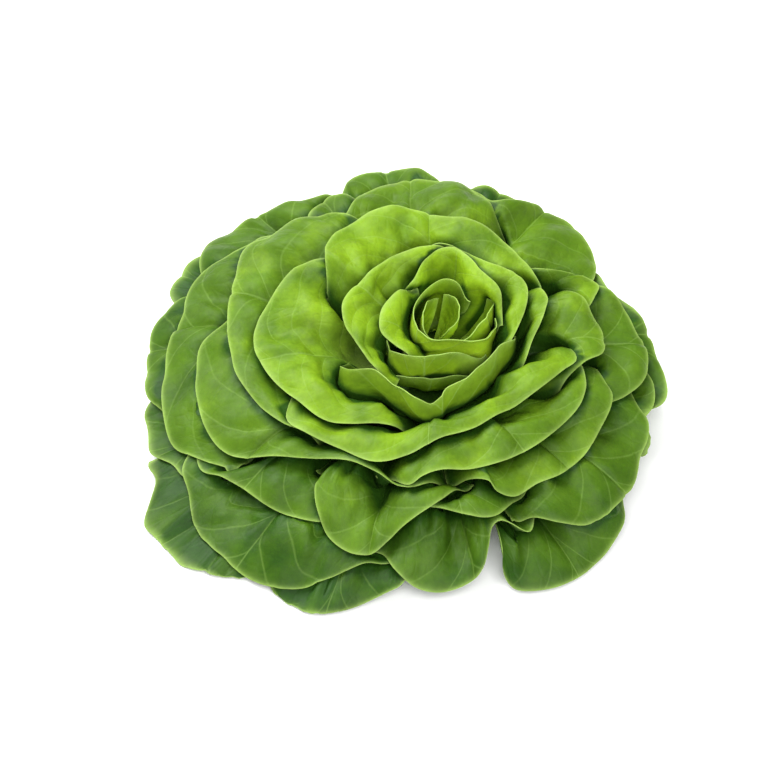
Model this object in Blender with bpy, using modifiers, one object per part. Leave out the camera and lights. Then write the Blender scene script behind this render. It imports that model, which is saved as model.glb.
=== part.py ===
"""One head of trocadero lettuce, a butterhead, in metres with +Z up and the cut stem on the table.

The front is towards -Y. Every leaf is laid in a net of nested bowls round the stem: "along" runs from the
stem to the dome on which the rims lie, and "layer" runs from the heart out to the table.
"""

import math

import bpy
import numpy as np
from mathutils import Vector
from mathutils.bvhtree import BVHTree

# Driving dimensions in millimetres and degrees.
BLADE = 0.8
RIB = 2.0
RIB_SHARE = 0.3
RIB_END = 2.2
GAP = 0.55
STEM_GAP = 1.5
STEM_RADIUS = 14.0
STEM_CHAMFER = (1.4, 0.6)
TABLE = 0.5
DOME_TILT = 0.13
HEART_LEAN = 11.0
RIM_WAVE = 2.2
WAVELENGTHS = (90, 48, 24)
BUMP = 3.0
BUMP_SIZE = 27.0
FULL_RIM = 130.0
LEAST_SIZE = 0.2
RELIEF_ROOM = 16.0
STEADY_RIM = 0.7
SEED = 7
MM = 0.001

# Height of the dome of rims over the table, by distance from the axis.
DOME_REACH = (0, 20, 45, 80, 105, 125, 145, 165, 185)
DOME_HEIGHT = (78, 77, 74, 62, 46, 32, 14, 5, 3)
DOME_LOWEST = 3.0
RIM_LOWEST = 1.5

# Side view of the bowls, from the heart outwards: distance from the axis and height, from stem to dome.
BOWLS = (
    ((3, 40), (5, 50), (6, 60), (6, 69), (5, 78), (4, 87)),
    ((7, 36), (13, 41), (19, 50), (22, 63), (20, 77), (18, 89)),
    ((10, 31), (25, 32), (40, 42), (48, 57), (44, 74), (40, 87)),
    ((12, 25), (33, 26), (51, 37), (64, 52), (70, 65.5), (76, 76)),
    ((13, 19), (39, 19), (62, 30), (79, 45), (90, 57), (100, 65)),
    ((13.5, 13), (44, 12), (71, 23), (93, 36), (110, 43), (124, 48)),
    ((14, 8), (49, 7), (83, 17), (109, 27), (132, 27), (149, 25)),
    ((14, 3.5), (54, 3), (95, 9), (127, 13), (155, 9), (176, 4)),
    ((14, -1), (58, -3), (104, -3), (140, -4), (170, -7), (192, -12)),
    ((14, -6), (62, -10), (112, -16), (150, -20), (184, -25), (206, -31)),
)
RIM_ALONG = 4.0
LEAN_LAYERS = 4.0
NECK_BOWL = 7

# How a leaf runs from its root to its rim. A roll is the outer part, which lies over the next leaves.
ROOT_ALONG = 0.06
ROOT_LAYERS = (0.35, 6.3)
ROOT_SPAN = 0.36
ROOT_HALF = (12, 62)
TUCK = 0.3
LEAST_ROLL = 0.15
MOST_ROLL = 2.0
FACE_CURVE = 1.7
FLAT_LAYER = 6.4
DROP = 10.0
DROP_SHARE = 0.36
ALONG_LENGTH = 20.0
CEILING_GAP = 0.16
ROUNDING = 0.07
END_TURN = 4.0
END_LIFT = -5.0
END_REACH = (45, 60, 85, 105, 120)
END_LOWER = (0, 10, 10, 6, 0)

# Leaves from the heart outwards: name, then the rim as azimuth, reach and lift over the dome.
# Azimuth 0 is right, 90 is back, 180 is left and 270 is front. Heart leaves are measured from the heart.
HEART_LEAVES = (
    ("heart_bud_left", ((240, 8, -10), (207, 9, -5), (160, 9, -3), (122, 14, -4), (103, 18, -9))),
    ("heart_bud_right", ((351, 5, -9), (5, 9, -4), (34, 11, -3), (61, 16, -4), (77, 20, -8))),
    ("heart_lobe_right", ((318, 14, -9), (335, 18, -5), (352, 20, -3), (3, 23, -2), (12, 25, -3),
                          (22, 29, -5), (32, 33, -9))),
    (
        "heart_ring",
        ((57, 21, -8), (70, 23, -2), (85, 25, 0), (99, 23, 0), (118, 19, 0), (146, 15, 0),
        (181, 12, 0), (213, 12, 0),
         (242, 14, 0), (269, 14, 0), (300, 16, 0), (321, 22, 0), (334, 27, 0), (347, 28, -1),
         (360, 29, -5)),
    ),
    ("heart_cup_left", ((126, 28, -8), (139, 29, -2), (155, 30, 0), (170, 32, 1), (183, 33, 1),
                        (193, 33, 0), (204, 31, 0),
                        (216, 29, 0), (227, 27, -2), (238, 25, -8))),
    ("heart_cup_back", ((136, 23, -9), (128, 26, -2), (117, 30, 0), (106, 37, 0), (98, 42, 0),
                        (92, 46, 0), (85, 48, 0),
                        (79, 47, 0), (73, 44, 0), (65, 41, 0), (57, 38, 0), (48, 37, 0), (38, 37, 0),
                        (27, 36, -1),
                        (16, 34, -8))),
    ("heart_band_front", ((201, 30, -9), (214, 31, -2), (225, 29, 0), (238, 26, 0), (255, 23, 0),
                          (276, 22, 0), (298, 22, -2),
                          (318, 22, -9))),
    ("heart_pale_front", ((214, 31, -18), (228, 31, -13), (242, 30, -12), (258, 28, -12),
                          (274, 27, -12), (291, 26, -13),
                          (312, 25, -18))),
)
BODY_LEAVES = (
    ("inner_left", ((72, 51, -6), (79, 49, -1), (89, 47, 0), (98, 45, 0), (108, 44, 0), (119, 42, 0),
                    (131, 41, 1),
                    (144, 41, 1), (154, 42, 1), (164, 43, 0), (173, 42, 0), (184, 40, 0),
                    (195, 37, 0), (208, 36, 0),
                    (221, 36, -1), (230, 36, -4), (238, 36, -10))),
    ("inner_right", ((88, 48, -6), (78, 49, 0), (65, 50, 0), (52, 53, 0), (38, 58, 0), (29, 61, 0),
                     (21, 61, 0),
                     (11, 57, 0), (2, 53, -1), (350, 49, -4), (338, 46, -10))),
    ("inner_front", ((208, 46, -7), (218, 44, -1), (224, 41, 0), (231, 38, 0), (241, 39, 0),
                     (252, 42, 0), (261, 43, 0),
                     (270, 46, 0), (277, 48, -1), (283, 46, -1), (289, 43, 0), (302, 42, 0),
                     (311, 41, 0), (319, 40, 0),
                     (331, 41, 0), (341, 44, 0), (350, 48, -2), (359, 51, -9))),
    ("middle_curl_right", ((344, 58, -8), (354, 60, -2), (2, 64, 2), (10, 68, 3), (17, 71, 1),
                           (27, 70, -7))),
    ("middle_back", ((146, 60, -9), (138, 68, 0), (133, 73, 0), (123, 79, 0), (110, 81, 0),
                     (96, 80, 0), (82, 74, 0),
                     (69, 74, 0), (54, 73, 0), (41, 71, 0), (30, 69, -1), (19, 66, -9))),
    ("middle_left", ((128, 64, -9), (137, 69, -1), (146, 78, 0), (160, 82, 0), (171, 89, 0),
                     (180, 89, 0), (190, 86, 0),
                     (200, 82, 0), (212, 77, 0), (225, 74, 0), (236, 68, 0), (248, 62, -1),
                     (258, 58, -8))),
    ("middle_front", ((203, 72, -12), (209, 80, -5), (215, 86, -1), (224, 84, 0), (238, 81, 0),
                      (253, 81, 0), (266, 74, 0), (279, 67, 0),
                      (294, 66, 0), (310, 66, 0), (321, 69, 0), (335, 74, 0), (344, 79, 0),
                      (351, 84, -1),
                      (358, 80, -9))),
    ("fold_right", ((344, 80, -9), (352, 88, 0), (358, 97, 0), (4, 97, 1), (10, 94, 2), (17, 92, 2),
                    (23, 84, -6))),
    ("curl_right", ((38, 68, -9), (31, 80, 0), (28, 94, 1), (24, 104, 0), (19, 98, -2), (14, 90, -9))),
    ("second_front", ((259, 83, -8), (266, 88, 0), (271, 84, 0), (278, 82, 0), (289, 84, 0),
                      (300, 86, 0), (312, 88, 0),
                      (324, 90, 0), (334, 92, 0), (343, 92, 0), (350, 89, -2), (357, 82, -9))),
    ("second_left", ((111, 78, -9), (117, 85, 0), (122, 98, 0), (128, 107, 0), (136, 108, 0),
                     (143, 117, 0),
                     (152, 112, 0), (161, 107, 0), (172, 104, 0), (181, 101, 0), (191, 98, 0),
                     (204, 93, 0),
                     (214, 87, -1), (222, 80, -9))),
    ("third_front", ((287, 84, -9), (293, 91, 0), (295, 97, 0), (300, 102, 0), (308, 102, 0),
                     (316, 105, 0),
                     (325, 107, 0), (334, 106, 0), (342, 106, 0), (348, 103, -2), (355, 95, -9))),
    ("second_back", ((122, 86, -9), (115, 93, -1), (108, 103, 0), (101, 109, 0), (93, 112, 0),
                     (84, 110, 0),
                     (76, 108, 0), (69, 100, 0), (63, 92, -9))),
    ("back_right", ((86, 72, -9), (80, 79, -1), (74, 87, 0), (67, 98, 0), (61, 109, 0), (56, 119, 0),
                    (50, 123, 0),
                    (43, 120, 0), (36, 117, 0), (30, 110, 0), (25, 101, -3), (21, 93, -10))),
    ("side_left_front", ((162, 105, -9), (171, 113, 0), (177, 119, 0), (188, 121, 0), (200, 120, 0),
                         (208, 117, 0),
                         (214, 110, 0), (221, 100, 0), (230, 91, 0), (240, 85, 0), (254, 84, 0),
                         (262, 87, 0),
                         (268, 88, -1), (275, 83, -9))),
    ("fold_front", ((236, 90, -9), (236, 98, -1), (238, 105, 1), (241, 111, 1), (245, 117, 1),
                    (251, 120, 0),
                    (257, 119, 0), (261, 113, 1), (265, 106, 1), (270, 100, 0), (277, 93, -3),
                    (284, 86, -10))),
    ("under_fold_front", ((266, 94, -10), (271, 96, -2), (276, 97, 0), (282, 101, 0), (288, 105, 0),
                          (293, 106, 0),
                          (300, 100, -9))),
    ("side_right", ((27, 99, -9), (21, 109, 0), (15, 116, 0), (8, 119, 0), (1, 121, 0), (355, 119, 0),
                    (350, 112, -3),
                    (345, 102, -10))),
    ("curl_back", ((130, 98, -9), (124, 106, 0), (117, 111, 1), (112, 107, 0), (107, 98, -9))),
    ("third_back", ((82, 98, -9), (74, 108, 0), (67, 112, 0), (60, 109, 0), (53, 100, -9))),
    ("far_back", ((115, 107, -10), (111, 116, -1), (107, 125, 0), (99, 125, 0), (92, 126, 0),
                  (87, 118, 0),
                  (81, 108, -10))),
    ("third_left", ((129, 100, -9), (136, 108, 0), (141, 117, 0), (147, 127, 0), (152, 135, 0),
                    (158, 136, 0),
                    (163, 133, 0), (171, 136, 0), (180, 138, 0), (189, 138, 0), (197, 137, 0),
                    (203, 130, -2), (208, 121, -9))),
    ("back_left", ((111, 103, -9), (117, 112, 0), (122, 121, 0), (129, 128, 0), (134, 138, 0),
                   (140, 143, 0),
                   (147, 140, 0), (153, 130, -9))),
    ("front_left", ((194, 118, -10), (200, 127, -4), (206, 128, 0), (212, 124, 0), (220, 120, 0),
                    (229, 118, 0),
                    (237, 115, -1), (244, 108, -8))),
    ("lower_right", ((353, 114, -9), (346, 124, 0), (341, 128, 0), (335, 130, 0), (329, 132, 0),
                     (323, 131, 0),
                     (318, 131, 0), (313, 128, 0), (307, 120, 0), (302, 110, -7))),
    ("edge_right_low", ((2, 115, -9), (356, 121, 0), (351, 122, 0), (346, 119, 0), (341, 114, 0),
                        (336, 105, -8))),
    ("edge_right", ((35, 99, -10), (27, 104, -1), (20, 107, 0), (14, 118, 0), (9, 124, 0),
                    (3, 125, 0), (357, 123, 0),
                    (352, 120, -1), (346, 111, -9))),
    ("front_middle", ((302, 98, -7), (297, 104, 0), (291, 109, 0), (288, 117, 0), (285, 126, 0),
                      (281, 130, 0),
                      (275, 132, 0), (269, 130, 0), (264, 124, 0), (260, 115, -7))),
    ("front_right", ((291, 123, -1), (290, 130, 0), (292, 137, 0), (298, 142, 0), (304, 144, 0),
                     (311, 143, 0), (317, 140, 0), (322, 136, 0), (327, 128, -4))),
    ("edge_left_top", ((152, 129, -9), (159, 141, 0), (164, 149, 0), (170, 150, 0), (177, 148, 0),
                       (183, 144, 0),
                       (189, 135, -8))),
    ("edge_back_left", ((140, 122, -9), (145, 132, 0), (150, 134, 0), (156, 131, 0), (162, 122, -9))),
    ("edge_left", ((176, 127, -9), (183, 139, 0), (189, 143, 0), (194, 145, 0), (199, 138, 0),
                   (204, 132, 0),
                   (210, 126, -2), (216, 116, -6))),
    ("front_left_low", ((197, 124, -7), (203, 135, 0), (209, 140, 0), (215, 147, 1), (222, 149, 1),
                        (231, 150, 1),
                        (238, 148, 1), (243, 142, 0), (248, 134, 0), (254, 124, -1), (260, 114, -6))),
    ("front_low", ((229, 131, 0), (236, 138, 0), (243, 142, 0), (250, 142, 0), (257, 132, 0),
                   (264, 122, 0),
                   (269, 110, -3))),
    ("edge_front_left", ((196, 128, 0), (201, 140, 1), (205, 149, 1), (209, 156, 1), (214, 155, 0),
                         (220, 155, 0),
                         (225, 150, 0), (230, 141, 0), (235, 131, 0))),
    ("under_back_right", ((26, 104, -28), (34, 115, -28), (44, 121, -30), (54, 122, -31),
                          (64, 117, -32),
                          (72, 106, -36))),
    ("under_back", ((68, 108, -38), (78, 119, -35), (90, 123, -34), (102, 121, -35), (112, 109, -38))),
    ("under_back_left", ((106, 112, -36), (115, 123, -32), (126, 129, -30), (137, 127, -30),
                         (146, 114, -30))),
)

# How strongly a leaf narrows towards its base, for those whose side edges show.
NARROW_BASES = {"front_right": 1.0, "front_middle": 0.7, "fold_front": 0.5, "front_low": 0.5}

# The most that a leaf rolls outwards, in layers, for the upright ones of the heart.
ROLL_LIMITS = {
    "inner_front": 0.05,
    "heart_band_front": 0.05,
    "heart_pale_front": 0.05,
    "heart_ring": 0.15,
    "heart_bud_left": 0.05,
    "heart_bud_right": 0.05,
    "heart_lobe_right": 0.05,
    "heart_cup_back": 0.9,
}

# Fine grid of a leaf, the map on which the leaves are stacked, and the coarse grid of the facets.
ACROSS_STEPS = 48
ALONG_STEPS = 32
MAP_ALONG = 150
MAP_TURN = 540
MAP_REACH = 6.0
ROW_PLACES = (0.0, 0.2, 0.44, 0.63, 0.78, 0.9, 1.0)
SHORT_RIM = 80.0
COLUMN_WIDTH = 11.5
COLUMNS = (6, 18)

# Clearing of the facets.
SPOT_PARTS = 6
PROBE = 14.0
PAST_PROBE = 4.0
LEAST_SLANT = 0.35
EDGE_SLANT = 0.7
EDGE_MARGIN = 1.2
EDGE_PARTS = (0.0, 0.2, 0.4, 0.6, 0.8)
NEAR_EDGE = 160.0
NEIGHBOUR_SHARE = 0.3
MOST_ROUNDS = 16
ENOUGH = 0.02
MEND_STEP = 0.35
TRIED_THICKER = 1.4
MOST_BELOW = 4
ROOM_EACH = 1.8


def clear_scene():
    for old in list(bpy.data.objects):
        bpy.data.objects.remove(old)


def extend_ends(table, axis):
    """Adds three straight steps at both ends of a table, so that curves through it can run on."""
    table = np.moveaxis(table, axis, 0)
    steps = np.arange(3, 0, -1).reshape((3,) + (1,) * (table.ndim - 1))
    before = table[0] + (table[0] - table[1]) * steps
    after = table[-1] + (table[-1] - table[-2]) * steps[::-1]
    return np.moveaxis(np.concatenate((before, table, after)), 0, axis)


BOWL_NET = extend_ends(extend_ends(np.array(BOWLS, float), 0), 1)


def smooth_weights(place, count):
    place = np.clip(place, -1.9, count + 0.9)
    cell = np.floor(place).astype(int)
    part = place - cell
    weights = (
        (-part + 2 * part**2 - part**3) / 2,
        (2 - 5 * part**2 + 3 * part**3) / 2,
        (part + 4 * part**2 - 3 * part**3) / 2,
        (-(part**2) + part**3) / 2,
    )
    return cell + 2, weights


def position(along, layer, turn):
    """Point in millimetres for a place in the net; turn is in degrees."""
    row, row_weights = smooth_weights(layer, len(BOWLS) - 1)
    column, column_weights = smooth_weights(along, len(BOWLS[0]) - 1)
    profile = 0
    for down in range(4):
        for over in range(4):
            weight = row_weights[down] * column_weights[over]
            profile = profile + weight[..., None] * BOWL_NET[row + down, column + over]
    angle = np.radians(turn)
    lean = HEART_LEAN * np.clip(1 - layer / LEAN_LAYERS, 0, 1.3) ** 2 * along / RIM_ALONG
    x = profile[..., 0] * np.cos(angle) + lean
    y = profile[..., 0] * np.sin(angle)
    grown = np.clip(along / 3, 0, 1)
    return np.stack((x, y, profile[..., 1] + DOME_TILT * y * grown**2 * (3 - 2 * grown)), -1)


def outward(along, layer, turn):
    """Step in millimetres for one layer outwards."""
    return (position(along, layer + 0.05, turn) - position(along, layer - 0.05, turn)) / 0.1


def net_place(points):
    """Along, layer and turn of points in millimetres, found step by step."""
    reach = np.hypot(points[:, 0], points[:, 1])
    dome_rows = BOWL_NET[3:-3, 3 + int(RIM_ALONG), 0]
    layer = np.interp(reach, dome_rows, np.arange(len(dome_rows)))
    lean = HEART_LEAN * np.clip(1 - layer / LEAN_LAYERS, 0, 1) ** 2
    layer = np.interp(np.hypot(points[:, 0] - lean, points[:, 1]), dome_rows, np.arange(len(dome_rows)))
    turn = np.degrees(np.arctan2(points[:, 1], points[:, 0] - lean))
    guess = np.stack((np.full(len(points), RIM_ALONG), layer, turn), -1)
    step = np.diag((0.01, 0.01, 0.1))
    for _ in range(40):
        here = position(*guess.T)
        slopes = np.stack([(position(*(guess + s).T) - here) / s.sum() for s in step], -1)
        move = np.linalg.solve(slopes, (points - here)[..., None])[..., 0]
        limit = np.array((0.5, 0.5, 15.0))
        guess = guess + np.clip(move, -limit, limit)
        guess[:, 0] = np.clip(guess[:, 0], 0.3, 5.9)
        guess[:, 1] = np.clip(guess[:, 1], -0.5, 9.5)
    return guess


def curve_through(points, count):
    """Evenly spaced points on a smooth curve through the given ones."""
    points = np.array(points, float)
    net = extend_ends(points, 0)
    place = np.linspace(0, len(points) - 1, 40 * len(points))
    cell, weights = smooth_weights(np.minimum(place, len(points) - 1 - 1e-9), len(points) - 1)
    fine = sum(weight[:, None] * net[cell + step] for step, weight in enumerate(weights))
    length = np.concatenate(([0], np.cumsum(np.linalg.norm(np.diff(fine, axis=0), axis=1))))
    even = np.linspace(0, length[-1], count)
    curve = np.stack([np.interp(even, length, fine[:, axis]) for axis in range(3)], -1)
    return curve, length[-1]


def with_ends(rim):
    """The rim with its low ends led on down into the gaps beside the leaf."""
    rim = list(rim)
    for last, before, place in ((0, 1, 0), (-1, -2, len(rim) + 1)):
        turn, reach, lift = rim[last]
        low = float(np.interp(reach, END_REACH, END_LOWER))
        if lift > END_LIFT or low == 0:
            continue
        side = 1 if (turn - rim[before][0] + 540) % 360 > 180 else -1
        rim.insert(place, (turn + side * END_TURN, reach - 0.3 * low, lift - low))
    return rim


def rim_points(rim, centre):
    rim = with_ends(rim)
    turn = np.radians([point[0] for point in rim])
    reach = np.array([point[1] for point in rim], float)
    lift = np.array([point[2] for point in rim], float)
    x = reach * np.cos(turn) + centre
    y = reach * np.sin(turn)
    height = np.interp(reach, DOME_REACH, DOME_HEIGHT) + DOME_TILT * y
    return np.stack((x, y, np.maximum(height, DOME_LOWEST) + lift), -1)


def unevenness(chance, across, along, size, shape):
    """Smooth random swells of about that size, from -1 to 1, over a leaf's grid."""
    cells_across = max(int(round(across / size)), 2)
    cells_along = max(int(round(along / size)), 2)
    coarse = chance.uniform(-1, 1, (cells_across + 3, cells_along + 3))
    for axis, (count, cells) in enumerate(zip(shape, (cells_across, cells_along))):
        coarse = np.moveaxis(coarse, axis, 0)
        place = np.linspace(0, cells, count)
        cell = np.minimum(place.astype(int), cells - 1)
        part = (place - cell)[:, None]
        part = part * part * (3 - 2 * part)
        coarse = np.moveaxis(coarse[cell] * (1 - part) + coarse[cell + 1] * part, 0, axis)
    return coarse


def lay_out(index, name, rim, centre, total):
    """The leaf's rim in the net, its grid and the turn of every point."""
    chance = np.random.default_rng(SEED + index)
    curve, rim_length = curve_through(rim_points(rim, centre), ACROSS_STEPS + 1)
    curve[:, 2] = np.maximum(curve[:, 2], RIM_LOWEST)
    found = net_place(curve)
    rim_turn = np.degrees(np.unwrap(np.radians(found[:, 2])))
    middle = rim_turn.mean() + chance.uniform(-4, 4)
    span = rim_turn[-1] - rim_turn[0]
    narrow = NARROW_BASES.get(name, 0.0)
    half_root = np.sign(span) * np.clip(abs(span) * ROOT_SPAN * (1 - 0.5 * narrow), *ROOT_HALF)
    across = np.linspace(-1, 1, ACROSS_STEPS + 1)[:, None]
    reach = np.linspace(0, 1, ALONG_STEPS + 1)[None, :]
    root_turn = middle + across * half_root
    opening = (1 - narrow) * (1 - (1 - reach) ** 1.7) + narrow * reach**2.4
    return {
        "name": name,
        "turn": root_turn + (rim_turn[:, None] - root_turn) * opening,
        "across": across,
        "reach": reach,
        "rim_along": found[:, 0][:, None],
        "rim_layer": found[:, 1][:, None],
        "rim_turn": rim_turn[:, None],
        "rim_length": rim_length,
        "root": np.interp(index / (total - 1), (0, 1), ROOT_LAYERS),
        "chance": chance,
    }


def soft_columns(values, passes):
    for _ in range(passes):
        padded = np.concatenate((values[:1], values, values[-1:]))
        values = (padded[:-2] + 2 * padded[1:-1] + padded[2:]) / 4
    return values


def tucked_under(leaf, taken):
    """Width of the roll in layers and in millimetres, and how high it starts, for every column.

    The roll starts where the leaf comes out from under the rims laid before it.
    """
    _, column = cells(leaf["rim_along"][:, 0], leaf["rim_turn"][:, 0])
    per_along = MAP_ALONG / MAP_REACH
    low, high = int(2.4 * per_along), int(4.4 * per_along)
    profile = soften(spread(taken, 1, 3), 1, 3)[low:high, column].T
    top = profile[:, int(1.2 * per_along):].max(axis=1)
    most = ROLL_LIMITS.get(leaf["name"], MOST_ROLL)
    rim_layer = leaf["rim_layer"][:, 0]
    wide = np.clip(rim_layer - top + TUCK, min(LEAST_ROLL, most), most)
    wide = soft_columns(np.minimum(wide, np.interp(rim_layer, (5.6, 7.0), (most, LEAST_ROLL))), 4)
    over = profile >= (rim_layer - wide)[:, None] - 0.1
    ceiling = np.where(over.any(axis=1), low + over.argmax(axis=1), high) / per_along
    step = outward(leaf["rim_along"], leaf["rim_layer"], leaf["rim_turn"])
    per_layer = np.linalg.norm(step, axis=-1)[:, 0]
    raised = np.clip((FLAT_LAYER - rim_layer) / 1.5, 0.1, 1)
    drop = raised * (DROP + DROP_SHARE * wide * per_layer) / ALONG_LENGTH
    corner_along = np.minimum(leaf["rim_along"][:, 0] - drop, ceiling - CEILING_GAP)
    corner_along = soft_columns(np.maximum(corner_along, 1.5), 3)
    return wide[:, None], corner_along[:, None], (wide * per_layer)[:, None]


def grid_normals(points):
    normal = np.cross(np.gradient(points, axis=0), np.gradient(points, axis=1))
    return normal / np.maximum(np.linalg.norm(normal, axis=-1, keepdims=True), 1e-9)


def outer_normals(along, layer, turn, points):
    normal = grid_normals(points)
    return normal * np.sign((normal * outward(along, layer, turn)).sum(-1).mean())


def normal_move(along, layer, turn, points):
    """Steps of along and of layer that move a point one millimetre off the leaf, outwards."""
    step_along = (position(along + 0.05, layer, turn) - position(along - 0.05, layer, turn)) / 0.1
    step_layer = outward(along, layer, turn)
    normal = outer_normals(along, layer, turn, points)
    aa = (step_along * step_along).sum(-1)
    ab = (step_along * step_layer).sum(-1)
    bb = (step_layer * step_layer).sum(-1)
    an = (step_along * normal).sum(-1)
    bn = (step_layer * normal).sum(-1)
    scale = np.maximum(aa * bb - ab * ab, 1e-6 * aa * bb)
    return (bb * an - ab * bn) / scale, (aa * bn - ab * an) / scale


def shape_leaf(leaf, taken):
    """Along and layer of every point, before the leaf is pressed against those laid before it."""
    wide, corner_along, roll_length = tucked_under(leaf, taken)
    rim_along, rim_layer, root = leaf["rim_along"], leaf["rim_layer"], leaf["root"]
    corner = position(corner_along, rim_layer - wide, leaf["rim_turn"])
    foot_along = np.full_like(corner_along, ROOT_ALONG)
    foot = position(foot_along, np.full_like(corner_along, root), leaf["rim_turn"])
    body = 1.1 * np.linalg.norm(corner - foot, axis=-1)
    turning = soft_columns(np.clip(body / (body + roll_length), 0.4, 0.93), 3)
    along = np.zeros(leaf["turn"].shape)
    layer = np.zeros(leaf["turn"].shape)
    offsets = (-1.0, -0.5, 0.0, 0.5, 1.0)
    rounding = np.minimum(ROUNDING, 0.5 * (1 - turning)) * (1 - leaf["reach"] ** 8)
    for offset in offsets:
        reach = leaf["reach"] + offset * rounding
        below = np.clip(reach / turning, 0, 1)
        beyond = np.maximum((reach - turning) / (1 - turning), 0)
        rise = 1 - np.abs(1 - beyond) ** FACE_CURVE
        along += ROOT_ALONG + (corner_along - ROOT_ALONG) * below**0.95 + (rim_along - corner_along) * rise
        layer += root + (rim_layer - wide - root) * (1 - (1 - below) ** 2.3) + wide * beyond
    along = along / len(offsets)
    layer = layer / len(offsets)
    reach, across, chance, turn = leaf["reach"], leaf["across"], leaf["chance"], leaf["turn"]
    size = np.clip(leaf["rim_length"] / FULL_RIM, LEAST_SIZE, 1.0) ** 2
    points = position(along, layer, turn)
    ray_length = np.linalg.norm(np.diff(points, axis=1), axis=-1).sum(axis=1).mean()
    phase = chance.uniform(0, 2 * math.pi, 6)
    slow, middling, quick = (
        np.cos(across * math.pi * leaf["rim_length"] / 2 / wavelength + start)
        for wavelength, start in zip(WAVELENGTHS, phase)
    )
    relief = RIM_WAVE * (0.35 * (slow + 0.7 * middling) * reach**2 + 0.65 * quick * reach**4)
    swells = BUMP * unevenness(chance, leaf["rim_length"], ray_length, BUMP_SIZE, along.shape)
    relief = size * (relief + swells * np.clip(reach * 1.6, 0, 1) ** 2 * (1 - 0.5 * reach**8))
    relief = relief * np.clip((points[..., 2] - TABLE) / RELIEF_ROOM, 0.15, 1) * (1 - STEADY_RIM * reach**8)
    along_move, layer_move = normal_move(along, layer, turn, points)
    leaf["along"] = along + relief * along_move
    leaf["layer"] = layer + relief * layer_move
    leaf["per_layer"] = np.linalg.norm(outward(along, layer, turn), axis=-1)


def finer(grid, times):
    for axis in range(2):
        grid = np.moveaxis(grid, axis, 0)
        place = np.linspace(0, len(grid) - 1, (len(grid) - 1) * times + 1)
        cell = np.minimum(place.astype(int), len(grid) - 2)
        part = (place - cell)[:, None]
        grid = np.moveaxis(grid[cell] * (1 - part) + grid[cell + 1] * part, 0, axis)
    return grid


def cells(along, turn):
    """Rows and columns of the map for places in the net."""
    row = np.clip(along / MAP_REACH * MAP_ALONG, 0, MAP_ALONG - 1).astype(int)
    column = np.floor(turn / 360 * MAP_TURN).astype(int) % MAP_TURN
    return row, column


def shift_rows(grid, step):
    rows = np.clip(np.arange(len(grid)) + step, 0, len(grid) - 1)
    return grid[rows]


def spread(grid, rows, columns):
    wide = grid
    for step in range(-rows, rows + 1):
        wide = np.maximum(wide, shift_rows(grid, step))
    result = wide
    for step in range(-columns, columns + 1):
        result = np.maximum(result, np.roll(wide, step, 1))
    return result


def soften(grid, rows, columns):
    mean = sum(shift_rows(grid, step) for step in range(-rows, rows + 1)) / (2 * rows + 1)
    return sum(np.roll(mean, step, 1) for step in range(-columns, columns + 1)) / (2 * columns + 1)


def soften_leaf(grid):
    for axis in range(2):
        padded = np.concatenate((np.take(grid, [0], axis), grid, np.take(grid, [-1], axis)), axis)
        low = np.take(padded, range(0, grid.shape[axis]), axis)
        high = np.take(padded, range(2, grid.shape[axis] + 2), axis)
        grid = (low + 2 * grid + high) / 4
    return grid


def table_layers():
    """Layer at which the net meets the table, for every cell of the map."""
    coarse_along = np.linspace(0, MAP_REACH, 31)[:, None, None]
    coarse_turn = np.linspace(0, 360, 73)[None, :, None]
    layers = np.linspace(3, 9.5, 66)
    grid = np.broadcast_arrays(coarse_along, layers[None, None, :], coarse_turn)
    height = position(*grid)[..., 2]
    above = height > TABLE
    last = above.shape[2] - 1 - np.argmax(above[..., ::-1], axis=2)
    rows = layers[last]
    along_place = np.linspace(0, 30, MAP_ALONG)
    turn_place = np.linspace(0, 72, MAP_TURN)
    by_along = np.stack([np.interp(along_place, np.arange(31), rows[:, j]) for j in range(73)], 1)
    return np.stack([np.interp(turn_place, np.arange(73), by_along[i]) for i in range(MAP_ALONG)], 0)


def half_thickness(leaf):
    """Half of the leaf's thickness in millimetres, thicker along the midrib near the stem."""
    rib = np.exp(-((leaf["across"] / RIB_SHARE) ** 2)) * np.clip(1 - leaf["along"] / RIB_END, 0, 1)
    return 0.5 * (BLADE + (RIB - BLADE) * rib * np.clip(leaf["root"] / 2 - 0.6, 0, 1))


def stack_leaves(leaves):
    """Lays the leaves one outside another, from the heart to the table."""
    floor = table_layers()
    covers = []
    for leaf in leaves:
        cover = np.zeros((MAP_ALONG, MAP_TURN))
        rough_along = ROOT_ALONG + (leaf["rim_along"] - ROOT_ALONG) * leaf["reach"]
        cover[cells(finer(rough_along, 4), finer(leaf["turn"], 4))] = 1
        covers.append(cover)
    to_come = sum(covers)
    taken = np.full((MAP_ALONG, MAP_TURN), -1.0)
    for leaf, cover in zip(leaves, covers):
        to_come = to_come - cover
        shape_leaf(leaf, taken)
        where = cells(leaf["along"], leaf["turn"])
        half = half_thickness(leaf)
        needed = soften(spread(taken, 2, 4), 2, 4)[where] + (half + GAP) / leaf["per_layer"]
        push = np.zeros_like(needed)
        for _ in range(8):
            push = soften_leaf(np.maximum(push, needed - leaf["layer"]))
        layer = np.maximum(leaf["layer"] + push, needed)
        later = soften(spread(to_come, 1, 3), 1, 3)[where]
        leaf["room_below"] = np.minimum(later, MOST_BELOW) * ROOM_EACH
        highest = floor[where] - (half + leaf["room_below"]) / leaf["per_layer"]
        leaf["layer"] = np.where(layer > highest, np.maximum(highest, needed), layer)
        leaf["half"] = half
        row, column = cells(finer(leaf["along"], 4), finer(leaf["turn"], 4))
        np.maximum.at(taken, (row, column), finer(leaf["layer"] + half / leaf["per_layer"], 4))


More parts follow.
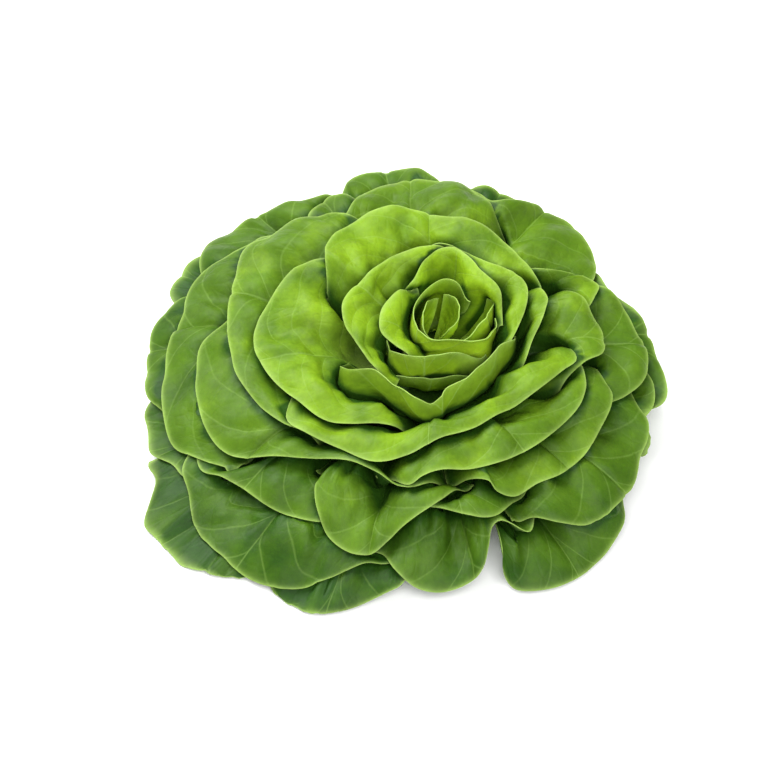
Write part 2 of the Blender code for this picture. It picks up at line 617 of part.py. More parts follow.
def make_facets(leaf):
    """Coarse grid of the leaf, with its points, its outward steps and its triangles."""
    columns = int(np.clip(round(leaf["rim_length"] / COLUMN_WIDTH), *COLUMNS))
    pick_across = np.round(np.linspace(0, ACROSS_STEPS, columns + 1)).astype(int)
    places = ROW_PLACES if leaf["rim_length"] > SHORT_RIM else ROW_PLACES[:1] + ROW_PLACES[2:]
    pick = np.ix_(pick_across, np.round(np.array(places) * ALONG_STEPS).astype(int))
    place = [leaf[key][pick] for key in ("along", "layer", "turn")]
    points = position(*place)
    steps = outward(*place)
    steps /= np.linalg.norm(steps, axis=-1, keepdims=True)
    rows = len(places)
    triangles = []
    for i in range(columns):
        for j in range(rows - 1):
            a = i * rows + j
            b = a + rows
            if (i + j) % 2:
                triangles += [(a, b, b + 1), (a, b + 1, a + 1)]
            else:
                triangles += [(a, b, a + 1), (b, b + 1, a + 1)]
    leaf["lowest"] = (TABLE + leaf["half"] + leaf["room_below"])[pick].reshape(-1)
    leaf["points"] = points.reshape(-1, 3)
    leaf["points"][:, 2] = np.maximum(leaf["points"][:, 2], leaf["lowest"])
    leaf["steps"] = steps.reshape(-1, 3)
    leaf["half"] = leaf["half"][pick].reshape(-1)
    leaf["triangles"] = np.array(triangles)
    leaf["size"] = (columns + 1, rows)


def spots(parts):
    """Evenly spread weights of the three corners of a triangle."""
    weights = [(i, j, parts - i - j) for i in range(parts + 1) for j in range(parts + 1 - i)]
    return np.array(weights, float) / parts


SPOTS = spots(SPOT_PARTS)


def joined(leaves, key):
    return np.concatenate([leaf[key] for leaf in leaves])


def facet_lacks(leaf, moved, tree, known_half):
    """How far each point still has to move out, judged from spots on the facets that have moved."""
    triangles = leaf["triangles"][moved[leaf["triangles"]].any(axis=1)]
    corners = leaf["points"][triangles]
    samples = np.einsum("sk,tkd->tsd", SPOTS, corners)
    ways = np.einsum("sk,tkd->tsd", SPOTS, leaf["steps"][triangles])
    ways /= np.linalg.norm(ways, axis=-1, keepdims=True)
    halves = np.einsum("sk,tk->ts", SPOTS, leaf["half"][triangles])
    starts = samples + ways * PROBE
    normals = np.cross(corners[:, 1] - corners[:, 0], corners[:, 2] - corners[:, 0])
    normals /= np.linalg.norm(normals, axis=-1, keepdims=True)
    slants = np.clip(np.abs(np.einsum("tsd,td->ts", ways, normals)), LEAST_SLANT, 1)
    lacks = np.zeros(len(leaf["points"]))
    for t in range(len(triangles)):
        for s in range(len(SPOTS)):
            way = Vector(ways[t, s])
            hit = tree.ray_cast(Vector(starts[t, s]), -way, PROBE + PAST_PROBE)
            if hit[0] is None:
                continue
            slant = max(abs(hit[1].dot(way)), LEAST_SLANT)
            need = (halves[t, s] + GAP / 2) / slants[t, s] + (known_half[hit[2]] + GAP / 2) / slant
            lack = need - (hit[3] - PROBE)
            if lack > 0:
                share = SPOTS[s] / (SPOTS[s] ** 2).sum()
                for corner in range(3):
                    k = triangles[t, corner]
                    lacks[k] = max(lacks[k], lack * min(share[corner], 1.0))
    return lacks


def edge_lacks(leaf, edge_points, edge_steps, edge_half):
    """How far each point still has to move out, judged from spots on the edges laid before."""
    triangles = leaf["triangles"]
    tree = BVHTree.FromPolygons(leaf["points"].tolist(), triangles.tolist())
    lacks = np.zeros(len(leaf["points"]))
    for point, step, thick in zip(edge_points, edge_steps, edge_half):
        way = Vector(step)
        hit = tree.ray_cast(Vector(point) - way * PROBE, way, PROBE + PAST_PROBE)
        if hit[0] is None:
            continue
        slant = max(abs(hit[1].dot(way)), LEAST_SLANT)
        corner_half = leaf["half"][triangles[hit[2]]].max()
        need = (thick + GAP / 2) / EDGE_SLANT + (corner_half + GAP / 2) / slant
        lack = need - (hit[3] - PROBE)
        if lack > 0:
            for k in triangles[hit[2]]:
                lacks[k] = max(lacks[k], lack)
    return lacks


def share_with_neighbours(lacks, size):
    sheet = lacks.reshape(size)
    for axis in range(2):
        count = sheet.shape[axis]
        ahead = np.take(sheet, np.minimum(np.arange(count) + 1, count - 1), axis)
        behind = np.take(sheet, np.maximum(np.arange(count) - 1, 0), axis)
        sheet = np.maximum(sheet, NEIGHBOUR_SHARE * np.maximum(ahead, behind))
    return sheet.reshape(-1)


def clear_of(leaf, others):
    """Moves the facets outwards until they clear those of the leaves laid before."""
    starts = np.cumsum([0] + [len(other["points"]) for other in others])
    known = np.concatenate([other["triangles"] + start for other, start in zip(others, starts)])
    known_half = joined(others, "half")[known].max(axis=1)
    tree = BVHTree.FromPolygons(joined(others, "wide_points").tolist(), known.tolist())
    edges = [joined(others, key) for key in ("edge_points", "edge_steps", "edge_half")]
    near = np.abs(edges[0] - leaf["points"].mean(axis=0)).max(axis=1) < NEAR_EDGE
    edges = [values[near] for values in edges]
    moved = np.full(len(leaf["points"]), True)
    for _ in range(MOST_ROUNDS):
        lacks = np.maximum(facet_lacks(leaf, moved, tree, known_half), edge_lacks(leaf, *edges))
        if lacks.max() < ENOUGH:
            break
        push = share_with_neighbours(lacks, leaf["size"])
        moved = push > 0
        leaf["points"] = leaf["points"] + leaf["steps"] * push[:, None]
        leaf["points"][:, 2] = np.maximum(leaf["points"][:, 2], leaf["lowest"])


def note_edges(leaf):
    """Widened points, and spots along the leaf's edges, for the leaves laid after it."""
    columns, rows = leaf["size"]
    grid = leaf["points"].reshape(columns, rows, 3)
    wide = grid.copy()
    rim = (slice(None), -1), (slice(None), -2)
    left = (0, slice(1, None)), (1, slice(1, None))
    right = (-1, slice(1, None)), (-2, slice(1, None))
    for edge, inner in (rim, left, right):
        way = grid[edge] - grid[inner]
        wide[edge] += way / np.linalg.norm(way, axis=-1, keepdims=True) * EDGE_MARGIN
    leaf["wide_points"] = wide.reshape(-1, 3)
    index = np.arange(columns * rows).reshape(columns, rows)
    firsts = (index[0, :-1], index[-1, :-1], index[:-1, -1], index[:-1, 1:-1].reshape(-1))
    seconds = (index[0, 1:], index[-1, 1:], index[1:, -1], index[1:, 1:-1].reshape(-1))
    first, second = np.concatenate(firsts), np.concatenate(seconds)
    for key, source in (("edge_points", "wide_points"), ("edge_steps", "steps"), ("edge_half", "half")):
        ends = leaf[source][first], leaf[source][second]
        leaf[key] = np.concatenate([ends[0] * (1 - part) + ends[1] * part for part in EDGE_PARTS])
    leaf["edge_steps"] /= np.linalg.norm(leaf["edge_steps"], axis=-1, keepdims=True)


def plain_material(name, colour, roughness):
    material = bpy.data.materials.new(name)
    material.use_nodes = True
    shader = material.node_tree.nodes["Principled BSDF"]
    shader.inputs["Base Color"].default_value = (*colour, 1)
    shader.inputs["Roughness"].default_value = roughness
    return material


def add_leaf(leaf, collection, colour):
    mesh = bpy.data.meshes.new(leaf["name"])
    mesh.from_pydata((leaf["points"] * MM).tolist(), [], leaf["triangles"].tolist())
    mesh.materials.append(plain_material(leaf["name"], colour, 0.5))
    blade = bpy.data.objects.new(leaf["name"], mesh)
    collection.objects.link(blade)
    group = blade.vertex_groups.new(name="thickness")
    for index, half in enumerate(leaf["half"]):
        group.add([index], float(2 * half / RIB), "REPLACE")
    solid = blade.modifiers.new("solid", "SOLIDIFY")
    solid.thickness = RIB * MM
    solid.offset = 0
    solid.vertex_group = "thickness"
    solid.use_rim = True
    return blade


def add_stem(collection):
    """Turned stem: a flat cut face, a short neck and a core that narrows up into the heart."""
    profile = [(0, 0), (STEM_RADIUS - STEM_CHAMFER[0], 0), (STEM_RADIUS - STEM_CHAMFER[1], STEM_CHAMFER[1])]
    for row in BOWLS[NECK_BOWL:0:-1]:
        profile.append((row[0][0] - STEM_GAP, row[0][1] + 1.0))
    profile.append((BOWLS[0][0][0] - STEM_GAP, BOWLS[0][0][1] - 1.0))
    profile.append((0, BOWLS[0][0][1]))
    mesh = bpy.data.meshes.new("stem")
    edges = [(i, i + 1) for i in range(len(profile) - 1)]
    mesh.from_pydata([(r * MM, 0, z * MM) for r, z in profile], edges, [])
    mesh.materials.append(plain_material("stem", (0.72, 0.70, 0.48), 0.6))
    stem = bpy.data.objects.new("stem", mesh)
    collection.objects.link(stem)
    turn = stem.modifiers.new("turn", "SCREW")
    turn.axis = "Z"
    turn.steps = 32
    turn.render_steps = 32
    turn.use_merge_vertices = True
    turn.merge_threshold = 0.0001
    turn.use_normal_flip = True


def solid_of(blade, graph):
    """Points in millimetres and triangles of a leaf with its thickness."""
    graph.update()
    mesh = blade.evaluated_get(graph).to_mesh()
    mesh.calc_loop_triangles()
    points = [vertex.co / MM for vertex in mesh.vertices]
    return points, [tuple(triangle.vertices) for triangle in mesh.loop_triangles]


def mend(leaf, blade, trees):
    """Moves facets that still cross an earlier leaf outwards and smooths those that cross their own leaf.

    The leaf is tried a little thicker than it is, so that a gap stays.
    """
    graph = bpy.context.evaluated_depsgraph_get()
    blade.modifiers["solid"].thickness = RIB * MM * TRIED_THICKER
    count = len(leaf["points"])
    for _ in range(MOST_ROUNDS):
        points, faces = solid_of(blade, graph)
        tree = BVHTree.FromPolygons(points, faces)
        crossing = {own for other in trees for own, _ in tree.overlap(other)}
        folded = {own for own, other in tree.overlap(tree) if not set(faces[own]) & set(faces[other])}
        if not crossing and not folded:
            break
        push = np.zeros(count)
        push[[corner % count for own in crossing for corner in faces[own]]] = MEND_STEP
        push = share_with_neighbours(push, leaf["size"])
        leaf["points"] = leaf["points"] + leaf["steps"] * push[:, None]
        if folded:
            sheet = leaf["points"].reshape(*leaf["size"], 3)
            corners = sorted({corner % count for own in folded for corner in faces[own]})
            smooth = soften_leaf(sheet).reshape(-1, 3)
            leaf["points"][corners] = smooth[corners]
        leaf["points"][:, 2] = np.maximum(leaf["points"][:, 2], leaf["lowest"])
        blade.data.vertices.foreach_set("co", (leaf["points"] * MM).astype(np.float32).ravel())
        blade.data.update()
    blade.modifiers["solid"].thickness = RIB * MM
    trees.append(BVHTree.FromPolygons(*solid_of(blade, graph)))


def main():
    clear_scene()
    collection = bpy.data.collections.new("trocadero_lettuce")
    bpy.context.scene.collection.children.link(collection)
    listed = [(name, rim, HEART_LEAN) for name, rim in HEART_LEAVES]
    listed += [(name, rim, 0.0) for name, rim in BODY_LEAVES]
    leaves = []
    for index, (name, rim, centre) in enumerate(listed):
        leaves.append(lay_out(index, name, rim, centre, len(listed)))
    stack_leaves(leaves)
    trees = []
    for index, leaf in enumerate(leaves):
        make_facets(leaf)
        if index:
            clear_of(leaf, leaves[:index])
        blend = index / (len(leaves) - 1)
        blade = add_leaf(leaf, collection, (0.30 - 0.16 * blend, 0.46 - 0.16 * blend, 0.05))
        mend(leaf, blade, trees)
        note_edges(leaf)
    add_stem(collection)


main()
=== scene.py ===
import math

import bpy
import numpy as np
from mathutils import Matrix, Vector
from mathutils.bvhtree import BVHTree


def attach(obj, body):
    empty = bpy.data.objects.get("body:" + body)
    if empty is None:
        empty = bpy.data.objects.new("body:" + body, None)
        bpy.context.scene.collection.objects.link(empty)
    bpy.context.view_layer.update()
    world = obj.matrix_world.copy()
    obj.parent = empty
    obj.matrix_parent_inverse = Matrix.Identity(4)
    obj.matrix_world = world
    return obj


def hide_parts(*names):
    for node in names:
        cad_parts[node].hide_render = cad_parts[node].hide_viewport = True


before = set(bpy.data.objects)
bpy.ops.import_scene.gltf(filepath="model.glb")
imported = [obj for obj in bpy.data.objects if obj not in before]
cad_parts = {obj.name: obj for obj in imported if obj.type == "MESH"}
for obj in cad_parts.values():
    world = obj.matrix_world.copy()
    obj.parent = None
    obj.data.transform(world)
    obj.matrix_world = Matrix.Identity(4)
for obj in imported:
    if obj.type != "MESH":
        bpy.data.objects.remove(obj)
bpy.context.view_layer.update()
mm = 0.001

# the dome on which all the rims lie, and the side view of the bowls that the leaves follow, in mm.
# A point of the head has a place along its bowl (0 at the stem, 4 at the dome), a layer and a turn in degrees.
headShape = {
    "domeReach": (0, 20, 45, 80, 105, 125, 145, 165, 185),
    "domeHeight": (78, 77, 74, 62, 46, 32, 14, 5, 3),
    "domeLowest": 3.0,
    "domeTilt": 0.13,
    "heartLean": 11.0,
    "leanLayers": 4.0,
    "rimAlong": 4.0,
    "table": 0.5,
    "bowls": (
        ((3, 40), (5, 50), (6, 60), (6, 69), (5, 78), (4, 87)),
        ((7, 36), (13, 41), (19, 50), (22, 63), (20, 77), (18, 89)),
        ((10, 31), (25, 32), (40, 42), (48, 57), (44, 74), (40, 87)),
        ((12, 25), (33, 26), (51, 37), (64, 52), (70, 65.5), (76, 76)),
        ((13, 19), (39, 19), (62, 30), (79, 45), (90, 57), (100, 65)),
        ((13.5, 13), (44, 12), (71, 23), (93, 36), (110, 43), (124, 48)),
        ((14, 8), (49, 7), (83, 17), (109, 27), (132, 27), (149, 25)),
        ((14, 3.5), (54, 3), (95, 9), (127, 13), (155, 9), (176, 4)),
        ((14, -1), (58, -3), (104, -3), (140, -4), (170, -7), (192, -12)),
        ((14, -6), (62, -10), (112, -16), (150, -20), (184, -25), (206, -31)),
    ),
}

# one leaf blade, in mm; steps set how fine its mesh is
leafShape = {
    "acrossSteps": 84,
    "alongSteps": 56,
    "blade": 0.7,
    "rimBlade": 0.5,
    "rib": 2.0,
    "gap": 0.5,
    "rimWave": 2.2,
    "pleat": 0.9,
    "tuck": 0.3,
    "leastRoll": 0.15,
    "mostRoll": 2.0,
    "faceCurve": 1.7,
    "flatLayer": 6.4,
    "drop": 10.0,
    "dropShare": 0.36,
    "ceilingGap": 0.16,
    "rounding": 0.07,
    "rootAlong": 0.06,
    "rootLayers": (0.35, 6.3),
    "bump": 4.2,
    "bumpSize": 27.0,
    "pucker": 2.8,
    "puckerSize": 13.0,
    "wrinkle": 1.1,
    "wrinkleSize": 6.5,
    "ruffle": 0.9,
    "ruffleSize": 11.0,
    "sideVeins": 6.5,
    "veinDepth": 0.35,
    "reliefRoom": 16.0,
    "steadyRim": 0.25,
    "pillow": 1.5,
    "valley": 2.4,
    "mostRaised": 9.0,
    "endTurn": 9.0,
    "narrowing": 0.36,
    "seed": 7,
}

# how the leaves near the table lie on one another: cells of the height map, and where the effect fades, in mm
settling = {
    "cell": 1.5,
    "halfCells": 120,
    "pressAbove": 78,
    "pressShare": 0.45,
    "heartReach": 40,
    "fadeReach": 25,
    "lowTop": 34,
    "lowFade": 14,
    "softPasses": 8,
}

# how strongly a leaf narrows towards its base
narrowBases = {"front_right": 1.0, "front_middle": 0.7, "fold_front": 0.5, "front_low": 0.5}

# the most that a leaf rolls outwards, in layers, for those that don't follow the others
rollLimits = {
    "inner_front": 0.05,
    "heart_band_front": 0.05,
    "heart_pale_front": 0.05,
    "heart_ring": 0.15,
    "heart_bud_left": 0.05,
    "heart_bud_right": 0.05,
    "heart_lobe_right": 0.05,
    "heart_cup_back": 0.9,
}

# depth of the fold or cup along the midrib in mm and its width as a share of the leaf
cups = {
    "fold_front": (9.0, 0.34),
    "front_middle": (5.0, 0.5),
    "front_right": (4.5, 0.45),
    "lower_right": (5.0, 0.4),
    "front_left_low": (5.0, 0.4),
    "front_left": (4.0, 0.4),
    "inner_front": (-4.0, 0.2),
    "heart_cup_back": (4.5, 0.28),
    "back_right": (4.0, 0.3),
}

# rims as azimuth, reach and lift over the dome; azimuth 0 is right and 270 is front
heartLeaves = (
    ("heart_bud_left", (
        (240, 8, -10), (207, 9, -5), (160, 9, -3), (122, 14, -4), (103, 18, -9),
    )),
    ("heart_bud_right", (
        (351, 5, -9), (5, 9, -4), (34, 11, -3), (61, 16, -4), (77, 20, -8),
    )),
    ("heart_lobe_right", (
        (318, 14, -9), (335, 18, -5), (352, 20, -3), (3, 23, -2), (12, 25, -3), (22, 29, -5), (32, 33, -9),
    )),
    ("heart_ring", (
        (57, 21, -8), (70, 23, -2), (85, 25, 0), (99, 23, 0), (118, 19, 0), (146, 15, 0), (181, 12, 0), (213, 12, 0),
        (242, 14, 0), (269, 14, 0), (300, 16, 0), (321, 22, 0), (334, 27, 0), (347, 28, -1), (360, 29, -5),
    )),
    ("heart_cup_left", (
        (126, 28, -8), (139, 29, -2), (155, 30, 0), (170, 32, 1), (183, 33, 1), (193, 33, 0), (204, 31, 0),
        (216, 29, 0), (227, 27, -2), (238, 25, -8),
    )),
    ("heart_cup_back", (
        (136, 23, -9), (128, 26, -2), (117, 30, 0), (106, 37, 0), (98, 42, 0), (92, 46, 0), (85, 48, 0), (79, 47, 0),
        (73, 44, 0), (65, 41, 0), (57, 38, 0), (48, 37, 0), (38, 37, 0), (27, 36, -1), (16, 34, -8),
    )),
    ("heart_band_front", (
        (201, 30, -9), (214, 31, -2), (225, 29, 0), (238, 26, 0), (255, 23, 0), (276, 22, 0), (298, 22, -2),
        (318, 22, -9),
    )),
    ("heart_pale_front", (
        (214, 31, -18), (228, 31, -13), (242, 30, -12), (258, 28, -12), (274, 27, -12), (291, 26, -13),
        (312, 25, -18),
    )),
)
bodyLeaves = (
    ("inner_left", (
        (72, 51, -6), (79, 49, -1), (89, 47, 0), (98, 45, 0), (108, 44, 0), (119, 42, 0), (131, 41, 1), (144, 41, 1),
        (154, 42, 1), (164, 43, 0), (173, 42, 0), (184, 40, 0), (195, 37, 0), (208, 36, 0), (221, 36, -1),
        (230, 36, -4), (238, 36, -10),
    )),
    ("inner_right", (
        (88, 48, -6), (78, 49, 0), (65, 50, 0), (52, 53, 0), (38, 58, 0), (29, 61, 0), (21, 61, 0), (11, 57, 0),
        (2, 53, -1), (350, 49, -4), (338, 46, -10),
    )),
    ("inner_front", (
        (208, 46, -7), (218, 44, -1), (224, 41, 0), (231, 38, 0), (241, 39, 0), (252, 42, 0), (261, 43, 0),
        (270, 46, 0), (277, 48, -1), (283, 46, -1), (289, 43, 0), (302, 42, 0), (311, 41, 0), (319, 40, 0),
        (331, 41, 0), (341, 44, 0), (350, 48, -2), (359, 51, -9),
    )),
    ("middle_curl_right", (
        (344, 58, -8), (354, 60, -2), (2, 64, 2), (10, 68, 3), (17, 71, 1), (27, 70, -7),
    )),
    ("middle_back", (
        (146, 60, -9), (138, 68, 0), (133, 73, 0), (123, 79, 0), (110, 81, 0), (96, 80, 0), (82, 74, 0), (69, 74, 0),
        (54, 73, 0), (41, 71, 0), (30, 69, -1), (19, 66, -9),
    )),
    ("middle_left", (
        (128, 64, -9), (137, 69, -1), (146, 78, 0), (160, 82, 0), (171, 89, 0), (180, 89, 0), (190, 86, 0),
        (200, 82, 0), (212, 77, 0), (225, 74, 0), (236, 68, 0), (248, 62, -1), (258, 58, -8),
    )),
    ("middle_front", (
        (203, 72, -12), (209, 80, -5), (215, 86, -1), (224, 84, 0), (238, 81, 0), (253, 81, 0), (266, 74, 0),
        (279, 67, 0), (294, 66, 0), (310, 66, 0), (321, 69, 0), (335, 74, 0), (344, 79, 0), (351, 84, -1),
        (358, 80, -9),
    )),
    ("fold_right", (
        (344, 80, -9), (352, 88, 0), (358, 97, 0), (4, 97, 1), (10, 94, 2), (17, 92, 2), (23, 84, -6),
    )),
    ("curl_right", (
        (38, 68, -9), (31, 80, 0), (28, 94, 1), (24, 104, 0), (19, 98, -2), (14, 90, -9),
    )),
    ("second_front", (
        (259, 83, -8), (266, 88, 0), (271, 84, 0), (278, 82, 0), (289, 84, 0), (300, 86, 0), (312, 88, 0),
        (324, 90, 0), (334, 92, 0), (343, 92, 0), (350, 89, -2), (357, 82, -9),
    )),
    ("second_left", (
        (111, 78, -9), (117, 85, 0), (122, 98, 0), (128, 107, 0), (136, 108, 0), (143, 117, 0), (152, 112, 0),
        (161, 107, 0), (172, 104, 0), (181, 101, 0), (191, 98, 0), (204, 93, 0), (214, 87, -1), (222, 80, -9),
    )),
    ("third_front", (
        (287, 84, -9), (293, 91, 0), (295, 97, 0), (300, 102, 0), (308, 102, 0), (316, 105, 0), (325, 107, 0),
        (334, 106, 0), (342, 106, 0), (348, 103, -2), (355, 95, -9),
    )),
    ("second_back", (
        (122, 86, -9), (115, 93, -1), (108, 103, 0), (101, 109, 0), (93, 112, 0), (84, 110, 0), (76, 108, 0),
        (69, 100, 0), (63, 92, -9),
    )),
    ("back_right", (
        (86, 72, -9), (80, 79, -1), (74, 87, 0), (67, 98, 0), (61, 109, 0), (56, 119, 0), (50, 123, 0), (43, 120, 0),
        (36, 117, 0), (30, 110, 0), (25, 101, -3), (21, 93, -10),
    )),
    ("side_left_front", (
        (162, 105, -9), (171, 113, 0), (177, 119, 0), (188, 121, 0), (200, 120, 0), (208, 117, 0), (214, 110, 0),
        (221, 100, 0), (230, 91, 0), (240, 85, 0), (254, 84, 0), (262, 87, 0), (268, 88, -1), (275, 83, -9),
    )),
    ("fold_front", (
        (236, 90, -9), (236, 98, -1), (238, 105, 1), (241, 111, 1), (245, 117, 1), (251, 120, 0), (257, 119, 0),
        (261, 113, 1), (265, 106, 1), (270, 100, 0), (277, 93, -3), (284, 86, -10),
    )),
    ("under_fold_front", (
        (266, 94, -10), (271, 96, -2), (276, 97, 0), (282, 101, 0), (288, 105, 0), (293, 106, 0), (300, 100, -9),
    )),
    ("side_right", (
        (27, 99, -9), (21, 109, 0), (15, 116, 0), (8, 119, 0), (1, 121, 0), (355, 119, 0), (350, 112, -3),
        (345, 102, -10),
    )),
    ("curl_back", (
        (130, 98, -9), (124, 106, 0), (117, 111, 1), (112, 107, 0), (107, 98, -9),
    )),
    ("third_back", (
        (82, 98, -9), (74, 108, 0), (67, 112, 0), (60, 109, 0), (53, 100, -9),
    )),
    ("far_back", (
        (115, 105, -10), (111, 114, -1), (107, 123, 0), (99, 123, 0), (92, 124, 0), (87, 116, 0), (81, 106, -10),
    )),
    ("third_left", (
        (129, 100, -9), (136, 108, 0), (141, 117, 0), (147, 127, 0), (152, 135, 0), (158, 136, 0), (163, 133, 0),
        (171, 136, 0), (180, 138, 0), (189, 138, 0), (197, 137, 0), (203, 130, -2), (208, 121, -9),
    )),
    ("back_left", (
        (111, 103, -9), (117, 112, 0), (122, 121, 0), (129, 128, 0), (134, 138, 0), (140, 143, 0), (147, 140, 0),
        (153, 130, -9),
    )),
    ("front_left", (
        (194, 118, -10), (200, 127, -4), (206, 128, 0), (212, 124, 0), (220, 120, 0), (229, 118, 0), (237, 115, -1),
        (244, 108, -8),
    )),
    ("lower_right", (
        (353, 114, -9), (346, 124, 0), (341, 128, 0), (335, 130, 0), (329, 132, 0), (323, 131, 0), (318, 131, 0),
        (313, 128, 0), (307, 120, 0), (302, 110, -7),
    )),
    ("edge_right_low", (
        (2, 117, -9), (356, 123, 0), (351, 124, 0), (346, 121, 0), (341, 116, 0), (336, 107, -8),
    )),
    ("edge_right", (
        (35, 102, -10), (27, 107, -1), (20, 110, 0), (14, 121, 0), (9, 127, 0), (3, 128, 0), (357, 126, 0),
        (352, 123, -1), (346, 114, -9),
    )),
    ("front_middle", (
        (302, 98, -7), (297, 104, 0), (291, 109, 0), (288, 117, 0), (285, 126, 0), (281, 130, 0), (275, 132, 0),
        (269, 130, 0), (264, 124, 0), (260, 115, -7),
    )),
    ("front_right", (
        (291, 123, -1), (290, 130, 0), (292, 137, 0), (298, 142, 0), (304, 144, 0), (311, 143, 0), (317, 140, 0),
        (322, 136, 0), (327, 128, -4),
    )),
    ("edge_left_top", (
        (152, 128, -9), (159, 140, 0), (164, 148, 0), (170, 149, 0), (177, 147, 0), (183, 143, 0), (189, 134, -8),
    )),
    ("edge_back_left", (
        (140, 127, -9), (145, 137, 0), (150, 139, 0), (156, 136, 0), (162, 127, -9),
    )),
    ("front_left_low", (
        (197, 124, -7), (203, 135, 0), (209, 140, 0), (215, 147, 1), (222, 149, 1), (231, 150, 1), (238, 148, 1),
        (243, 142, 0), (248, 134, 0), (254, 124, -1), (260, 114, -6),
    )),
    ("edge_left", (
        (176, 131, -9), (183, 143, 0), (189, 147, 0), (194, 149, 0), (199, 142, 0), (204, 136, 0), (210, 130, -2),
        (216, 120, -6),
    )),
    ("front_low", (
        (229, 138, 0), (236, 145, 0), (243, 149, 0), (250, 149, 0), (257, 139, 0), (264, 129, 0), (269, 117, -3),
    )),
    ("edge_front_left", (
        (196, 138, 0), (201, 150, 1), (205, 159, 1), (209, 166, 1), (214, 165, 0), (220, 165, 0), (225, 160, 0),
        (230, 151, 0), (235, 141, 0),
    )),
    ("under_back_right", (
        (26, 104, -28), (34, 115, -28), (44, 121, -30), (54, 122, -31), (64, 117, -32), (72, 106, -36),
    )),
    ("under_back", (
        (68, 108, -38), (78, 119, -35), (90, 123, -34), (102, 121, -35), (112, 109, -38),
    )),
    ("under_back_left", (
        (106, 112, -36), (115, 123, -32), (126, 129, -30), (137, 127, -30), (146, 114, -30),
    )),
)

mapShape = {"along": 200, "turn": 720, "reach": 6.0}


def extendEnds(table, axis):
    table = np.moveaxis(table, axis, 0)
    steps = np.arange(3, 0, -1).reshape((3,) + (1,) * (table.ndim - 1))
    before = table[0] + (table[0] - table[1]) * steps
    after = table[-1] + (table[-1] - table[-2]) * steps[::-1]
    return np.moveaxis(np.concatenate((before, table, after)), 0, axis)


bowlNet = extendEnds(extendEnds(np.array(headShape["bowls"], float), 0), 1)


def smoothWeights(place, count):  # of the four table rows around each place, for a smooth curve through them
    place = np.clip(place, -1.9, count + 0.9)
    cell = np.floor(place).astype(int)
    part = place - cell
    weights = (
        (-part + 2 * part**2 - part**3) / 2,
        (2 - 5 * part**2 + 3 * part**3) / 2,
        (part + 4 * part**2 - 3 * part**3) / 2,
        (-(part**2) + part**3) / 2,
    )
    return cell + 2, weights


def netPoint(along, layer, turn):  # the place of along, layer and turn in mm
    row, rowWeights = smoothWeights(layer, len(headShape["bowls"]) - 1)
    column, columnWeights = smoothWeights(along, len(headShape["bowls"][0]) - 1)
    profile = 0
    for down in range(4):
        for over in range(4):
            weight = rowWeights[down] * columnWeights[over]
            profile = profile + weight[..., None] * bowlNet[row + down, column + over]
    angle = np.radians(turn)
    drawn = np.clip(1 - layer / headShape["leanLayers"], 0, 1.3) ** 2 * along / headShape["rimAlong"]
    x = profile[..., 0] * np.cos(angle) + headShape["heartLean"] * drawn
    y = profile[..., 0] * np.sin(angle)
    grown = np.clip(along / 3, 0, 1)
    tilt = headShape["domeTilt"] * y * grown**2 * (3 - 2 * grown)
    return np.stack((x, y, profile[..., 1] + tilt), -1)


def outwardStep(along, layer, turn):  # how far a step of one layer moves the point, in mm
    return (netPoint(along, layer + 0.05, turn) - netPoint(along, layer - 0.05, turn)) / 0.1


def netPlace(points):  # along, layer and turn of points in mm, found step by step
    domeRows = bowlNet[3:-3, 3 + int(headShape["rimAlong"]), 0]
    rows = np.arange(len(domeRows))
    layer = np.interp(np.hypot(points[:, 0], points[:, 1]), domeRows, rows)
    lean = headShape["heartLean"] * np.clip(1 - layer / headShape["leanLayers"], 0, 1) ** 2
    layer = np.interp(np.hypot(points[:, 0] - lean, points[:, 1]), domeRows, rows)
    turn = np.degrees(np.arctan2(points[:, 1], points[:, 0] - lean))
    guess = np.stack((np.full(len(points), headShape["rimAlong"]), layer, turn), -1)
    step = np.diag((0.01, 0.01, 0.1))
    limit = np.array((0.5, 0.5, 15.0))
    for _ in range(40):
        here = netPoint(*guess.T)
        slopes = np.stack([(netPoint(*(guess + s).T) - here) / s.sum() for s in step], -1)
        move = np.linalg.solve(slopes, (points - here)[..., None])[..., 0]
        guess = guess + np.clip(move, -limit, limit)
        guess[:, 0] = np.clip(guess[:, 0], 0.3, 5.9)
        guess[:, 1] = np.clip(guess[:, 1], -0.5, 9.5)
    return guess


def curveThrough(points, count):  # evenly spaced points on a smooth curve, and its length
    points = np.array(points, float)
    net = extendEnds(points, 0)
    place = np.linspace(0, len(points) - 1, 40 * len(points))
    cell, weights = smoothWeights(np.minimum(place, len(points) - 1 - 1e-9), len(points) - 1)
    fine = sum(weight[:, None] * net[cell + step] for step, weight in enumerate(weights))
    length = np.concatenate(([0], np.cumsum(np.linalg.norm(np.diff(fine, axis=0), axis=1))))
    even = np.linspace(0, length[-1], count)
    return np.stack([np.interp(even, length, fine[:, axis]) for axis in range(3)], -1), length[-1]


def withEnds(rim):  # the rim's two ends run on down into the gaps beside the leaf
    rim = list(rim)
    for last, before, place in ((0, 1, 0), (-1, -2, len(rim) + 1)):
        turn, reach, lift = rim[last]
        if lift > -5:
            continue
        side = 1 if (turn - rim[before][0] + 540) % 360 > 180 else -1
        low = np.interp(reach, (30, 45, 70, 110, 130), (0, 0.6, 1, 0.5, 0))
        rim.insert(place, (turn + side * leafShape["endTurn"] * min(1, 60 / reach), reach - 5 * low, lift - 20 * low))
    return rim


